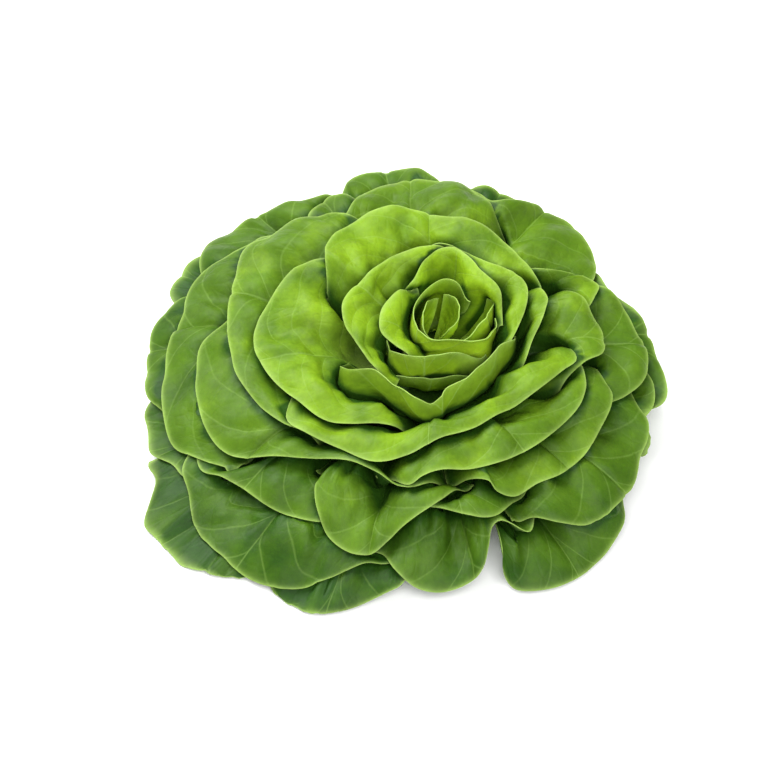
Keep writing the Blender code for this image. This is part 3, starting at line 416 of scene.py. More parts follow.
def rimPoints(rim, centre):
    rim = withEnds(rim)
    turn = np.radians([point[0] for point in rim])
    reach = np.array([point[1] for point in rim], float)
    lift = np.array([point[2] for point in rim], float)
    x = reach * np.cos(turn) + centre
    y = reach * np.sin(turn)
    height = np.interp(reach, headShape["domeReach"], headShape["domeHeight"]) + headShape["domeTilt"] * y
    return np.stack((x, y, np.maximum(height, headShape["domeLowest"]) + lift), -1)


def unevenness(chance, across, along, size, shape):  # smooth random swells of about that size
    cellsAcross = max(int(round(across / size)), 2)
    cellsAlong = max(int(round(along / size)), 2)
    coarse = chance.uniform(-1, 1, (cellsAcross + 3, cellsAlong + 3))
    for axis, (count, cells) in enumerate(zip(shape, (cellsAcross, cellsAlong))):
        coarse = np.moveaxis(coarse, axis, 0)
        place = np.linspace(0, cells, count)
        cell = np.minimum(place.astype(int), cells - 1)
        part = (place - cell)[:, None]
        part = part * part * (3 - 2 * part)
        coarse = np.moveaxis(coarse[cell] * (1 - part) + coarse[cell + 1] * part, 0, axis)
    return coarse


def leafSteps(rimLength):
    fine = np.clip(rimLength / 150, 0.55, 1.0)
    return int(leafShape["acrossSteps"] * fine), int(leafShape["alongSteps"] * max(fine, 0.7))


def layOut(index, name, rim, centre, total):
    chance = np.random.default_rng(leafShape["seed"] + index)
    _, rimLength = curveThrough(rimPoints(rim, centre), 50)
    acrossSteps, alongSteps = leafSteps(rimLength)
    curve, rimLength = curveThrough(rimPoints(rim, centre), acrossSteps + 1)
    curve[:, 2] = np.maximum(curve[:, 2], 1.5)
    found = netPlace(curve)
    rimTurn = np.degrees(np.unwrap(np.radians(found[:, 2])))
    middle = rimTurn.mean() + chance.uniform(-4, 4)
    span = rimTurn[-1] - rimTurn[0]
    narrow = narrowBases.get(name, 0.0)
    halfRoot = np.sign(span) * np.clip(abs(span) * leafShape["narrowing"] * (1 - 0.5 * narrow), 12, 62)
    across = np.linspace(-1, 1, acrossSteps + 1)[:, None]
    reach = np.linspace(0, 1, alongSteps + 1)[None, :]
    rootTurn = middle + across * halfRoot
    opening = (1 - narrow) * (1 - (1 - reach) ** 1.7) + narrow * reach**2.4
    turn = rootTurn + (rimTurn[:, None] - rootTurn) * opening
    return {
        "name": name,
        "turn": turn,
        "across": across,
        "reach": reach,
        "rimAlong": found[:, 0][:, None],
        "rimLayer": found[:, 1][:, None],
        "rimTurn": rimTurn[:, None],
        "rimLength": rimLength,
        "size": np.clip(rimLength / 130, 0.45, 1.0),
        "root": np.interp(index / (total - 1), (0, 1), leafShape["rootLayers"]),
        "age": index / (total - 1),
        "chance": chance,
    }


def softColumns(values, passes):
    for _ in range(passes):
        padded = np.concatenate((values[:1], values, values[-1:]))
        values = (padded[:-2] + 2 * padded[1:-1] + padded[2:]) / 4
    return values


def tuckedUnder(leaf, taken):  # where the leaf comes out from under the rims laid before it
    _, column = mapCells(leaf["rimAlong"][:, 0], leaf["rimTurn"][:, 0])
    perAlong = mapShape["along"] / mapShape["reach"]
    low, high = int(2.4 * perAlong), int(4.4 * perAlong)
    profile = soften(spread(taken, 1, 3), 1, 3)[low:high, column].T
    top = profile[:, int(1.2 * perAlong):].max(axis=1)
    most = rollLimits.get(leaf["name"], leafShape["mostRoll"])
    rimLayer = leaf["rimLayer"][:, 0]
    wide = np.clip(rimLayer - top + leafShape["tuck"], min(leafShape["leastRoll"], most), most)
    wide = softColumns(np.minimum(wide, np.interp(rimLayer, (5.6, 7.0), (most, leafShape["leastRoll"]))), 6)
    corner = rimLayer - wide
    over = profile >= corner[:, None] - 0.1
    ceiling = np.where(over.any(axis=1), low + over.argmax(axis=1), high) / perAlong
    perLayer = np.linalg.norm(outwardStep(leaf["rimAlong"], leaf["rimLayer"], leaf["rimTurn"]), axis=-1)[:, 0]
    raised = np.clip((leafShape["flatLayer"] - rimLayer) / 1.5, 0.1, 1)
    drop = raised * (leafShape["drop"] + leafShape["dropShare"] * wide * perLayer) / 20
    cornerAlong = np.minimum(leaf["rimAlong"][:, 0] - drop, ceiling - leafShape["ceilingGap"])
    cornerAlong = softColumns(np.maximum(cornerAlong, 1.5), 4)
    return wide[:, None], cornerAlong[:, None], (wide * perLayer)[:, None]


def normalMove(along, layer, turn, points):  # steps of along and layer that move a point 1 mm off the leaf
    stepAlong = (netPoint(along + 0.05, layer, turn) - netPoint(along - 0.05, layer, turn)) / 0.1
    stepLayer = outwardStep(along, layer, turn)
    normal = gridNormals(points)
    normal = normal * np.sign((normal * stepLayer).sum(-1).mean())
    aa, ab, bb = ((p * q).sum(-1) for p, q in ((stepAlong,) * 2, (stepAlong, stepLayer), (stepLayer,) * 2))
    an, bn = (stepAlong * normal).sum(-1), (stepLayer * normal).sum(-1)
    scale = np.maximum(aa * bb - ab * ab, 1e-6 * aa * bb)
    return (bb * an - ab * bn) / scale, (aa * bn - ab * an) / scale


def shapeLeaf(leaf, taken):  # along and layer of every point before the leaf is pressed against the others
    wide, cornerAlong, rollLength = tuckedUnder(leaf, taken)
    rimAlong, rimLayer, root = leaf["rimAlong"], leaf["rimLayer"], leaf["root"]
    rootAlong = leafShape["rootAlong"]
    corner = netPoint(cornerAlong, rimLayer - wide, leaf["rimTurn"])
    foot = netPoint(np.full_like(cornerAlong, rootAlong), np.full_like(cornerAlong, root), leaf["rimTurn"])
    body = 1.1 * np.linalg.norm(corner - foot, axis=-1)
    turning = softColumns(np.clip(body / (body + rollLength), 0.4, 0.93), 4)
    along, layer = 0, 0
    rounding = np.minimum(leafShape["rounding"], 0.5 * (1 - turning)) * (1 - leaf["reach"] ** 8)
    for offset in (-1, -0.5, 0, 0.5, 1):
        reach = leaf["reach"] + offset * rounding
        below = np.clip(reach / turning, 0, 1)
        beyond = np.maximum((reach - turning) / (1 - turning), 0)
        rise = 1 - np.abs(1 - beyond) ** leafShape["faceCurve"]
        along = along + (rootAlong + (cornerAlong - rootAlong) * below**0.95 + (rimAlong - cornerAlong) * rise) / 5
        layer = layer + (root + (rimLayer - wide - root) * (1 - (1 - below) ** 2.3) + wide * beyond) / 5
    reach, across, size, chance = leaf["reach"], leaf["across"], leaf["size"], leaf["chance"]
    turn = leaf["turn"]
    points = netPoint(along, layer, turn)
    rayLength = np.linalg.norm(np.diff(points, axis=1), axis=-1).sum(axis=1).mean()
    perLayer = np.linalg.norm(outwardStep(along, layer, turn), axis=-1)
    phase = chance.uniform(0, 2 * math.pi, 6)
    waves = leaf["rimLength"] / 2
    slow = np.cos(across * math.pi * waves / 90 + phase[0]) + 0.7 * np.cos(across * math.pi * waves / 48 + phase[1])
    quick = np.cos(across * math.pi * waves / 24 + phase[2])
    wave = size * leafShape["rimWave"] * (0.35 * slow * reach**2 + 0.65 * quick * reach**4)
    pleats = leafShape["pleat"] * size * np.cos(across * math.pi * waves / 19 + phase[3])
    pleats = pleats * reach**1.5 * (1.15 - reach)
    grid = along.shape

    def uneven(key):
        return unevenness(chance, leaf["rimLength"], rayLength, leafShape[key], grid)

    swells = uneven("bumpSize") * leafShape["bump"] + uneven("puckerSize") * leafShape["pucker"]
    swells = (swells + uneven("wrinkleSize") * leafShape["wrinkle"]) * size
    ruffles = uneven("ruffleSize")[:, -1:] * leafShape["ruffle"] * size
    relief = wave + pleats + swells * np.clip(reach * 1.6, 0, 1) ** 2 * (1 - 0.5 * reach**8) + ruffles * reach**12
    depth, width = cups.get(leaf["name"], (leafShape["valley"] * size, 0.2))
    relief = relief + depth * (np.exp(-((across / width) ** 2)) - 0.35) * reach * (1 - 0.8 * reach**5)
    relief = relief + leafShape["pillow"] * size * np.clip(rayLength / 90, 0.2, 1) ** 2 * veinRelief(leaf)
    relief = relief * np.clip((points[..., 2] - headShape["table"]) / leafShape["reliefRoom"], 0.15, 1)
    relief = relief * (1 - leafShape["steadyRim"] * reach**8)
    alongMove, layerMove = normalMove(along, layer, turn, points)
    leaf["layer"] = layer + relief * layerMove
    leaf["along"] = along + relief * alongMove + uneven("ruffleSize")[:, -1:] * 0.012 * reach**10
    leaf["rayLength"] = rayLength
    leaf["perLayer"] = perLayer


def finer(grid, times):
    for axis in range(2):
        grid = np.moveaxis(grid, axis, 0)
        place = np.linspace(0, len(grid) - 1, (len(grid) - 1) * times + 1)
        cell = np.minimum(place.astype(int), len(grid) - 2)
        part = (place - cell)[:, None]
        grid = np.moveaxis(grid[cell] * (1 - part) + grid[cell + 1] * part, 0, axis)
    return grid


def mapCells(along, turn):
    row = np.clip(along / mapShape["reach"] * mapShape["along"], 0, mapShape["along"] - 1).astype(int)
    return row, np.floor(turn / 360 * mapShape["turn"]).astype(int) % mapShape["turn"]


def shiftRows(grid, step):
    return grid[np.clip(np.arange(len(grid)) + step, 0, len(grid) - 1)]


def spread(grid, rows, columns):
    wide = np.max([shiftRows(grid, step) for step in range(-rows, rows + 1)], axis=0)
    return np.max([np.roll(wide, step, 1) for step in range(-columns, columns + 1)], axis=0)


def soften(grid, rows, columns):
    mean = np.mean([shiftRows(grid, step) for step in range(-rows, rows + 1)], axis=0)
    return np.mean([np.roll(mean, step, 1) for step in range(-columns, columns + 1)], axis=0)


def softenLeaf(grid):
    for axis in range(2):
        padded = np.concatenate((np.take(grid, [0], axis), grid, np.take(grid, [-1], axis)), axis)
        low = np.take(padded, range(0, grid.shape[axis]), axis)
        high = np.take(padded, range(2, grid.shape[axis] + 2), axis)
        grid = (low + 2 * grid + high) / 4
    return grid


def tableLayers():  # the layer at which the net meets the table
    coarseAlong = np.linspace(0, mapShape["reach"], 31)[:, None, None]
    coarseTurn = np.linspace(0, 360, 73)[None, :, None]
    layers = np.linspace(3, 9.5, 66)
    height = netPoint(*np.broadcast_arrays(coarseAlong, layers[None, None, :], coarseTurn))[..., 2]
    last = height.shape[2] - 1 - np.argmax((height > headShape["table"])[..., ::-1], axis=2)
    rows = layers[last]
    alongPlace = np.linspace(0, 30, mapShape["along"])
    turnPlace = np.linspace(0, 72, mapShape["turn"])
    byAlong = np.stack([np.interp(alongPlace, np.arange(31), rows[:, j]) for j in range(73)], 1)
    return np.stack([np.interp(turnPlace, np.arange(73), row) for row in byAlong], 0)


def halfThickness(leaf):
    rib = np.exp(-((leaf["across"] / 0.3) ** 2)) * np.clip(1 - leaf["along"] / 2.2, 0, 1)
    rib = rib * np.clip(leaf["root"] / 2 - 0.6, 0, 1)
    thin = leafShape["blade"] + (leafShape["rimBlade"] - leafShape["blade"]) * leaf["reach"] ** 6
    return 0.5 * (thin + (leafShape["rib"] - leafShape["blade"]) * rib)


def stackLeaves(leaves):  # each leaf lies outside the ones before it
    floor = tableLayers()
    covers = []
    for leaf in leaves:
        cover = np.zeros((mapShape["along"], mapShape["turn"]))
        roughAlong = leafShape["rootAlong"] + (leaf["rimAlong"] - leafShape["rootAlong"]) * leaf["reach"]
        cover[mapCells(finer(roughAlong, 3), finer(leaf["turn"], 3))] = 1
        covers.append(cover)
    toCome = sum(covers)
    taken = np.full((mapShape["along"], mapShape["turn"]), -1.0)
    for leaf, cover in zip(leaves, covers):
        toCome = toCome - cover
        shapeLeaf(leaf, taken)
        where = mapCells(leaf["along"], leaf["turn"])
        half = halfThickness(leaf)
        room = (half + leafShape["gap"]) / leaf["perLayer"]
        needed = soften(spread(taken, 2, 4), 2, 4)[where] + room
        push = np.zeros_like(needed)
        for _ in range(12):
            push = softenLeaf(np.maximum(push, needed - leaf["layer"]))
        layer = np.maximum(leaf["layer"] + push, needed)
        later = soften(spread(toCome, 1, 3), 1, 3)[where]
        roomBelow = np.minimum(later, 4) * 1.5
        highest = floor[where] - (half + roomBelow) / leaf["perLayer"]
        leaf["layer"] = np.where(layer > highest, np.maximum(highest, needed), layer)
        leaf["half"] = half
        row, column = mapCells(finer(leaf["along"], 3), finer(leaf["turn"], 3))
        np.maximum.at(taken, (row, column), finer(leaf["layer"] + half / leaf["perLayer"], 3))


def settleLow(leaves):  # from the lowest leaf up, each one near the table lies on those beneath it
    cell, half = settling["cell"], settling["halfCells"]
    ground = np.full((2 * half, 2 * half), headShape["table"])
    for leaf in reversed(leaves):
        points = netPoint(leaf["along"], leaf["layer"], leaf["turn"])
        points[..., 2] = np.maximum(points[..., 2], headShape["table"] + leaf["half"])
        points[..., 2] -= settling["pressShare"] * np.maximum(points[..., 2] - settling["pressAbove"], 0)
        where = tuple(np.clip((points[..., axis] / cell + half).astype(int), 0, 2 * half - 1) for axis in (0, 1))
        beneath = soften(spread(ground, 1, 1), 1, 1)[where]
        fromStem = np.hypot(points[..., 0], points[..., 1])
        outside = np.clip((fromStem - settling["heartReach"]) / settling["fadeReach"], 0, 1)
        low = np.clip((settling["lowTop"] - points[..., 2]) / settling["lowFade"], 0, 1) * outside
        needed = (beneath + leaf["half"] + leafShape["gap"] - points[..., 2]) * low
        raised = np.zeros_like(needed)
        for _ in range(settling["softPasses"]):
            raised = softenLeaf(np.maximum(raised, needed))
        points[..., 2] += np.clip(np.maximum(raised, needed), 0, leafShape["mostRaised"])
        leaf["points"] = points
        fine = np.stack([finer(points[..., axis], 3) for axis in range(3)], -1)
        top = fine[..., 2] + finer(leaf["half"], 3)
        spot = [np.clip((fine[..., axis] / cell + half).astype(int), 0, 2 * half - 1) for axis in (0, 1)]
        flat = np.hypot(fine[..., 0], fine[..., 1]) > settling["heartReach"]
        np.maximum.at(ground, (spot[0][flat], spot[1][flat]), top[flat])


def veinRelief(leaf):  # grooves along the veins and swells between them, from -1 to 1
    across, reach = leaf["across"], leaf["reach"]
    breadth = leaf["rimLength"] * 0.5 * np.abs(across) * (0.3 + 0.7 * reach)
    midrib = np.exp(-((breadth / (3.4 - 1.6 * reach)) ** 2))
    phase = leafShape["sideVeins"] * (reach - 0.5 * np.abs(across) ** 0.8) + np.where(across > 0, 0.45, 0.0)
    between = np.abs(np.sin(np.pi * phase)) ** 0.7
    away = np.clip(breadth / 5, 0, 1)
    return midrib - (between - 0.5) * away * np.clip(1.4 * reach, 0, 1) * (1 - 0.6 * reach**6)


def gridNormals(points):
    normal = np.cross(np.gradient(points, axis=0), np.gradient(points, axis=1))
    return normal / np.maximum(np.linalg.norm(normal, axis=-1, keepdims=True), 1e-9)


# how far a point looks about for leaves that shade it, in mm, on every third point of the mesh
gapShape = {"far": 24.0, "ways": 40, "step": 3, "clear": 0.8}


def markGaps(leaves):  # 0 where a face lies open and near 1 where other leaves close over it; the materials paint shade into the leaf colour by it
    parts, faces, total = [], [], 0
    for leaf in leaves:
        rows, columns = (
            np.unique(np.append(np.arange(0, count, gapShape["step"]), count - 1)) for count in leaf["along"].shape
        )
        points = leaf["points"][np.ix_(rows, columns)]
        ids = total + np.arange(points[..., 0].size).reshape(points.shape[:2])
        faces += np.stack((ids[:-1, :-1], ids[1:, :-1], ids[1:, 1:], ids[:-1, 1:]), -1).reshape(-1, 4).tolist()
        total += ids.size
        parts.append((leaf, rows, columns, points))
    tree = BVHTree.FromPolygons(np.concatenate([part[3].reshape(-1, 3) for part in parts]).tolist(), faces)
    count = gapShape["ways"]
    height = 1 - (2 * np.arange(count) + 1) / count
    roundTurn = np.arange(count) * math.pi * (3 - math.sqrt(5))
    flat = np.sqrt(1 - height**2)
    ways = np.stack((flat * np.cos(roundTurn), flat * np.sin(roundTurn), height), -1)
    vectors = [Vector(way) for way in ways]
    for leaf, rows, columns, points in parts:
        normal = gridNormals(points)
        grid = np.ix_(rows, columns)
        outward = outwardStep(leaf["along"][grid], leaf["layer"][grid], leaf["turn"][grid])
        normal = normal * np.sign((normal * outward).sum(-1).mean())
        for markName, side in (("gapUpper", -1), ("gapUnder", 1)):
            facing = side * normal.reshape(-1, 3)
            starts = points.reshape(-1, 3) + facing * (leafShape["blade"] / 2 + gapShape["clear"])
            slopes = facing @ ways.T
            closed = np.zeros(len(starts))
            for place, (start, slope) in enumerate(zip(starts.tolist(), slopes)):
                start = Vector(start)
                for index in np.nonzero(slope > 0.1)[0]:
                    distance = tree.ray_cast(start, vectors[index], gapShape["far"])[3]
                    if distance is not None:
                        closed[place] += slope[index] * (1 - distance / gapShape["far"])
            closed = (closed / np.maximum(slopes * (slopes > 0.1), 0).sum(axis=1)).reshape(points.shape[:2])
            wide = np.array([np.interp(np.arange(leaf["along"].shape[1]), columns, row) for row in closed])
            leaf[markName] = np.array([np.interp(np.arange(leaf["along"].shape[0]), rows, line) for line in wide.T]).T


def pieceName(node):
    words = node.split("_")
    return "leaf" + "".join(word.capitalize() for word in words)


def addLeaf(leaf, materials):  # a grid moved into the leaf's shape, thickened and shaded
    acrossCount, alongCount = leaf["along"].shape
    points = leaf["points"]
    normal = gridNormals(points)
    outward = outwardStep(leaf["along"], leaf["layer"], leaf["turn"])
    facing = np.sign((normal * outward).sum(-1).mean())
    normal = normal * facing  # now towards the leaf's outer face
    points = points + normal * (leafShape["veinDepth"] * veinRelief(leaf))[..., None]
    bpy.ops.object.select_all(action="DESELECT")
    bpy.ops.mesh.primitive_grid_add(x_subdivisions=alongCount - 1, y_subdivisions=acrossCount - 1, size=1)
    blade = bpy.context.object
    blade.name = pieceName(leaf["name"])
    mesh = blade.data
    mesh.name = blade.name
    flat = np.empty(len(mesh.vertices) * 3, np.float32)
    mesh.vertices.foreach_get("co", flat)
    flat = flat.reshape(-1, 3)
    i = np.round((flat[:, 1] + 0.5) * (acrossCount - 1)).astype(int)
    j = np.round((flat[:, 0] + 0.5) * (alongCount - 1)).astype(int)
    mesh.vertices.foreach_set("co", (points[i, j] * mm).astype(np.float32).ravel())
    place = mesh.uv_layers.active or mesh.uv_layers.new(name="leafMap")
    place.name = "leafMap"
    corners = np.empty(len(mesh.loops), np.int32)
    mesh.loops.foreach_get("vertex_index", corners)
    breadth = leaf["across"] * leaf["rimLength"] * 0.5 * (0.35 + 0.65 * leaf["reach"])
    depth = np.broadcast_to(leaf["reach"] * leaf["rayLength"], breadth.shape)
    uv = np.stack((breadth, depth), -1)[i, j] * 0.01
    place.data.foreach_set("uv", uv[corners].astype(np.float32).ravel())
    share = mesh.uv_layers.new(name="leafShare")
    shares = np.stack(np.broadcast_arrays(leaf["across"], leaf["reach"]), -1)[i, j]
    share.data.foreach_set("uv", shares[corners].astype(np.float32).ravel())
    rimGap = (1 - leaf["reach"]) * leaf["rayLength"]
    sideGap = (1 - np.abs(leaf["across"])) * leaf["rimLength"] * 0.5 * leaf["reach"] + 6 * (1 - leaf["reach"])
    edge = np.clip(np.minimum(rimGap, sideGap) / 10, 0, 1)
    marks = {
        "edge": edge,
        "age": np.full(edge.shape, leaf["age"]),
        # gapUpper and gapUnder drive the painted shade in the gaps
        "gapUpper": leaf["gapUpper"],
        "gapUnder": leaf["gapUnder"],
    }
    for markName, values in marks.items():
        mark = mesh.attributes.new(markName, "FLOAT", "POINT")
        mark.data.foreach_set("value", values[i, j].astype(np.float32))
    group = blade.vertex_groups.new(name="thickness")
    ribShare = (2 * leaf["half"] / leafShape["rib"])[i, j]
    for step in range(1, 41):  # forty steps of thickness are plenty
        members = np.nonzero(np.ceil(ribShare * 40).astype(int) == step)[0]
        if len(members):
            group.add(members.tolist(), step / 40, "REPLACE")
    for material in materials:
        mesh.materials.append(material)
    probe = mesh.polygons[len(mesh.polygons) // 2]
    outerWay = (normal[i, j])[list(probe.vertices)].mean(axis=0)
    mesh.update()
    if Vector(outerWay).dot(probe.normal) > 0:  # the grid's own side is the inner, upper face
        mesh.flip_normals()
    solid = blade.modifiers.new("solid", "SOLIDIFY")
    solid.thickness = leafShape["rib"] * mm
    solid.offset = 0
    solid.vertex_group = "thickness"
    solid.material_offset = 1
    solid.material_offset_rim = 0
    bpy.ops.object.modifier_apply(modifier=solid.name)
    bpy.ops.object.shade_smooth_by_angle(angle=math.radians(50))
    return blade


def newMaterial(name):
    material = bpy.data.materials.new(name)
    material.use_nodes = True
    return material, material.node_tree, material.node_tree.nodes["Principled BSDF"]


def node(tree, kind, **values):
    made = tree.nodes.new(kind)
    for key, value in values.items():
        setattr(made, key, value)
    return made


def mark(tree, name):
    return node(tree, "ShaderNodeAttribute", attribute_name=name).outputs["Fac"]


def math2(tree, operation, first, second, clamp=False):
    made = node(tree, "ShaderNodeMath", operation=operation, use_clamp=clamp)
    for socket, value in zip(made.inputs, (first, second)):
        if isinstance(value, (int, float)):
            socket.default_value = value
        else:
            tree.links.new(value, socket)
    return made.outputs[0]


def mixColour(tree, factor, first, second, blend="MIX"):
    made = node(tree, "ShaderNodeMix", data_type="RGBA", blend_type=blend)
    for socket, value in zip((made.inputs[0], made.inputs[6], made.inputs[7]), (factor, first, second)):
        if isinstance(value, (int, float)):
            socket.default_value = value
        elif isinstance(value, tuple):
            socket.default_value = (*value, 1)
        else:
            tree.links.new(value, socket)
    return made.outputs[2]


def noise(tree, scale, detail=3.0, rough=0.5, coordinates="Object"):
    place = node(tree, "ShaderNodeTexCoord").outputs[coordinates]
    made = node(tree, "ShaderNodeTexNoise")
    made.inputs["Scale"].default_value = scale
    made.inputs["Detail"].default_value = detail
    made.inputs["Roughness"].default_value = rough
    tree.links.new(place, made.inputs["Vector"])
    return made.outputs["Fac"]


leafColours = {
    "heart": (0.185, 0.315, 0.008),
    "middle": (0.068, 0.140, 0.005),
    "outer": (0.016, 0.054, 0.002),
    "pale": (0.40, 0.47, 0.19),
    # painted shade: the colour that faces closed over by other leaves are darkened towards
    "deep": (0.012, 0.046, 0.003),
    # the pale rim line: partly the edge's own paler colour, partly a painted highlight
    "rim": (0.27, 0.40, 0.09),
    "vein": (0.24, 0.38, 0.085),
    "underTint": (0.17, 0.26, 0.09),
    # young leaves' under face: partly their own paler yellow-green, partly painted light on the heart's outward faces
    "youngUnder": (0.50, 0.74, 0.03),
}


# shares, roughness and bump (in m) of the leaf's finish, among them the painted shade in the gaps and the pale rim
# line with its painted highlight
leafFinish = {
    "blotch": 0.8,
    "middleAge": 0.42,
    "veinShare": 0.24,
    "veinShareUnder": 0.5,
    "baseShare": 0.9,
    # gapOpen to gapShare set the painted shade in the gaps between leaves
    "gapOpen": 0.06,
    "heartOpen": 0.26,
    "heartOpenUnder": 0.50,
    "gapSlope": 3.4,
    "gapShare": 0.96,
    # rimShare sets the pale rim line, partly the edge's own colour and partly a painted highlight
    "rimShare": 0.7,
    "roughness": 0.38,
    "roughnessUnder": 0.46,
    "specular": 0.13,
    "scatter": 0.12,
    "scatterRadius": (0.6, 1.0, 0.2),
    "scatterScale": 0.002,
    "netScale": 17.0,
    "bumpStrength": 0.3,
    "bumpDistance": 0.0006,
}


def veinShader(tree):  # 0 to 1 on the midrib and the side veins, read from the leaf's own maps
    links = tree.links
    share = node(tree, "ShaderNodeSeparateXYZ")
    links.new(node(tree, "ShaderNodeUVMap", uv_map="leafShare").outputs["UV"], share.inputs[0])
    measure = node(tree, "ShaderNodeSeparateXYZ")
    links.new(node(tree, "ShaderNodeUVMap", uv_map="leafMap").outputs["UV"], measure.inputs[0])
    across, reach = share.outputs["X"], share.outputs["Y"]
    sway = math2(tree, "MULTIPLY", math2(tree, "SUBTRACT", noise(tree, 24, 1), 0.5), 0.05)
    aside = math2(tree, "ABSOLUTE", math2(tree, "ADD", measure.outputs["X"], sway), 0)
    halfWidth = math2(tree, "SUBTRACT", 0.021, math2(tree, "MULTIPLY", reach, 0.015))
    midrib = math2(tree, "SUBTRACT", 1.0, math2(tree, "DIVIDE", aside, halfWidth), True)
    slant = math2(tree, "MULTIPLY", math2(tree, "POWER", math2(tree, "ABSOLUTE", across, 0), 0.8), 0.5)
    phase = math2(tree, "MULTIPLY", math2(tree, "SUBTRACT", reach, slant), leafShape["sideVeins"])
    phase = math2(tree, "ADD", phase, math2(tree, "MULTIPLY", math2(tree, "GREATER_THAN", across, 0), 0.45))
    phase = math2(tree, "ADD", phase, math2(tree, "MULTIPLY", math2(tree, "SUBTRACT", noise(tree, 30, 2), 0.5), 0.35))
    aboutLine = math2(tree, "PINGPONG", phase, 0.5)
    line = math2(tree, "SUBTRACT", 1.0, math2(tree, "DIVIDE", aboutLine, 0.05), True)
    faint = math2(tree, "SUBTRACT", 1.25, math2(tree, "ABSOLUTE", across, 0), True)
    return math2(tree, "MAXIMUM", midrib, math2(tree, "MULTIPLY", math2(tree, "MULTIPLY", line, faint), 0.65)), reach


def leafMaterial(name, under):
    material, tree, shader = newMaterial(name)
    links = tree.links
    veins, reach = veinShader(tree)
    ramp = node(tree, "ShaderNodeValToRGB")
    stops = ramp.color_ramp.elements
    stops[0].position, stops[0].color = 0.0, (*leafColours["heart"], 1)
    stops[1].position, stops[1].color = 1.0, (*leafColours["outer"], 1)
    centre = stops.new(leafFinish["middleAge"])
    centre.color = (*leafColours["middle"], 1)
    blotch = math2(tree, "MULTIPLY", math2(tree, "SUBTRACT", noise(tree, 45, 3), 0.5), leafFinish["blotch"])
    shifted = math2(tree, "ADD", mark(tree, "age"), blotch, True)
    links.new(shifted, ramp.inputs["Fac"])
    colour = ramp.outputs["Color"]
    if under:
        # the young leaves' under faces turn yellow-green: partly their own paler colour, partly painted light on the
        # heart's outward faces
        youth = math2(tree, "SUBTRACT", 0.6, math2(tree, "MULTIPLY", mark(tree, "age"), 4.0), True)
        colour = mixColour(tree, youth, colour, leafColours["youngUnder"])
        tinted = math2(tree, "MULTIPLY", math2(tree, "SUBTRACT", mark(tree, "age"), 0.2, True), 0.75)
        colour = mixColour(tree, tinted, colour, leafColours["underTint"])
    veinShare = leafFinish["veinShareUnder" if under else "veinShare"]
    colour = mixColour(tree, math2(tree, "MULTIPLY", veins, veinShare), colour, leafColours["vein"])
    base = math2(tree, "POWER", math2(tree, "SUBTRACT", 1.0, reach, True), 5.0)
    colour = mixColour(tree, math2(tree, "MULTIPLY", base, leafFinish["baseShare"]), colour, leafColours["pale"])
    # painted shade: where other leaves close over a face, its colour is darkened towards the painted shade colour
    heartOpen = leafFinish["heartOpenUnder" if under else "heartOpen"]
    light = math2(tree, "SUBTRACT", heartOpen, math2(tree, "MULTIPLY", mark(tree, "age"), 1.2), True)
    openShare = math2(tree, "ADD", light, leafFinish["gapOpen"])  # the young leaves in the heart take less of the painted shade
    gap = math2(tree, "SUBTRACT", mark(tree, "gapUnder" if under else "gapUpper"), openShare, True)
    deep = math2(tree, "MULTIPLY", gap, leafFinish["gapSlope"], True)
    colour = mixColour(tree, math2(tree, "MULTIPLY", deep, leafFinish["gapShare"]), colour, leafColours["deep"])
    # a pale line along the rim: partly the edge's own paler colour, partly a painted highlight
    rim = math2(tree, "POWER", math2(tree, "SUBTRACT", 1.0, mark(tree, "edge"), True), 9.0)
    colour = mixColour(tree, math2(tree, "MULTIPLY", rim, leafFinish["rimShare"]), colour, leafColours["rim"])
    fineTone = math2(tree, "ADD", math2(tree, "MULTIPLY", noise(tree, 420, 4, 0.6), 0.4), 0.45)
    fineTone = math2(tree, "ADD", fineTone, math2(tree, "MULTIPLY", noise(tree, 62, 3), 0.7))
    tone = node(tree, "ShaderNodeCombineColor")
    for socket in tone.inputs[:3]:
        links.new(fineTone, socket)
    colour = mixColour(tree, 1.0, colour, tone.outputs[0], "MULTIPLY")
    links.new(colour, shader.inputs["Base Color"])
    evenRough = leafFinish["roughnessUnder" if under else "roughness"]
    rough = math2(tree, "ADD", math2(tree, "MULTIPLY", noise(tree, 160, 2), 0.22), evenRough)
    links.new(rough, shader.inputs["Roughness"])
    shader.inputs["Specular IOR Level"].default_value = leafFinish["specular"]
    shader.inputs["Subsurface Weight"].default_value = leafFinish["scatter"]
    shader.inputs["Subsurface Radius"].default_value = leafFinish["scatterRadius"]
    shader.inputs["Subsurface Scale"].default_value = leafFinish["scatterScale"]
    cellPlace = node(tree, "ShaderNodeUVMap", uv_map="leafMap").outputs["UV"]
    cells = node(tree, "ShaderNodeTexVoronoi", feature="DISTANCE_TO_EDGE")
    cells.inputs["Scale"].default_value = leafFinish["netScale"]
    links.new(cellPlace, cells.inputs["Vector"])
    netLines = math2(tree, "MINIMUM", cells.outputs["Distance"], 0.2)
    grain = math2(tree, "MULTIPLY", noise(tree, 700, 3), 0.35)
    height = math2(tree, "ADD", math2(tree, "MULTIPLY", netLines, 3.0), grain)
    height = math2(tree, "ADD" if under else "SUBTRACT", height, math2(tree, "MULTIPLY", veins, 0.8))
    bump = node(tree, "ShaderNodeBump")
    bump.inputs["Strength"].default_value = leafFinish["bumpStrength"]
    bump.inputs["Distance"].default_value = leafFinish["bumpDistance"]
    links.new(height, bump.inputs["Height"])
    links.new(bump.outputs["Normal"], shader.inputs["Normal"])
    return material


stemLook = {"flesh": (0.60, 0.62, 0.34), "skin": (0.42, 0.50, 0.20), "browned": (0.30, 0.17, 0.07)}


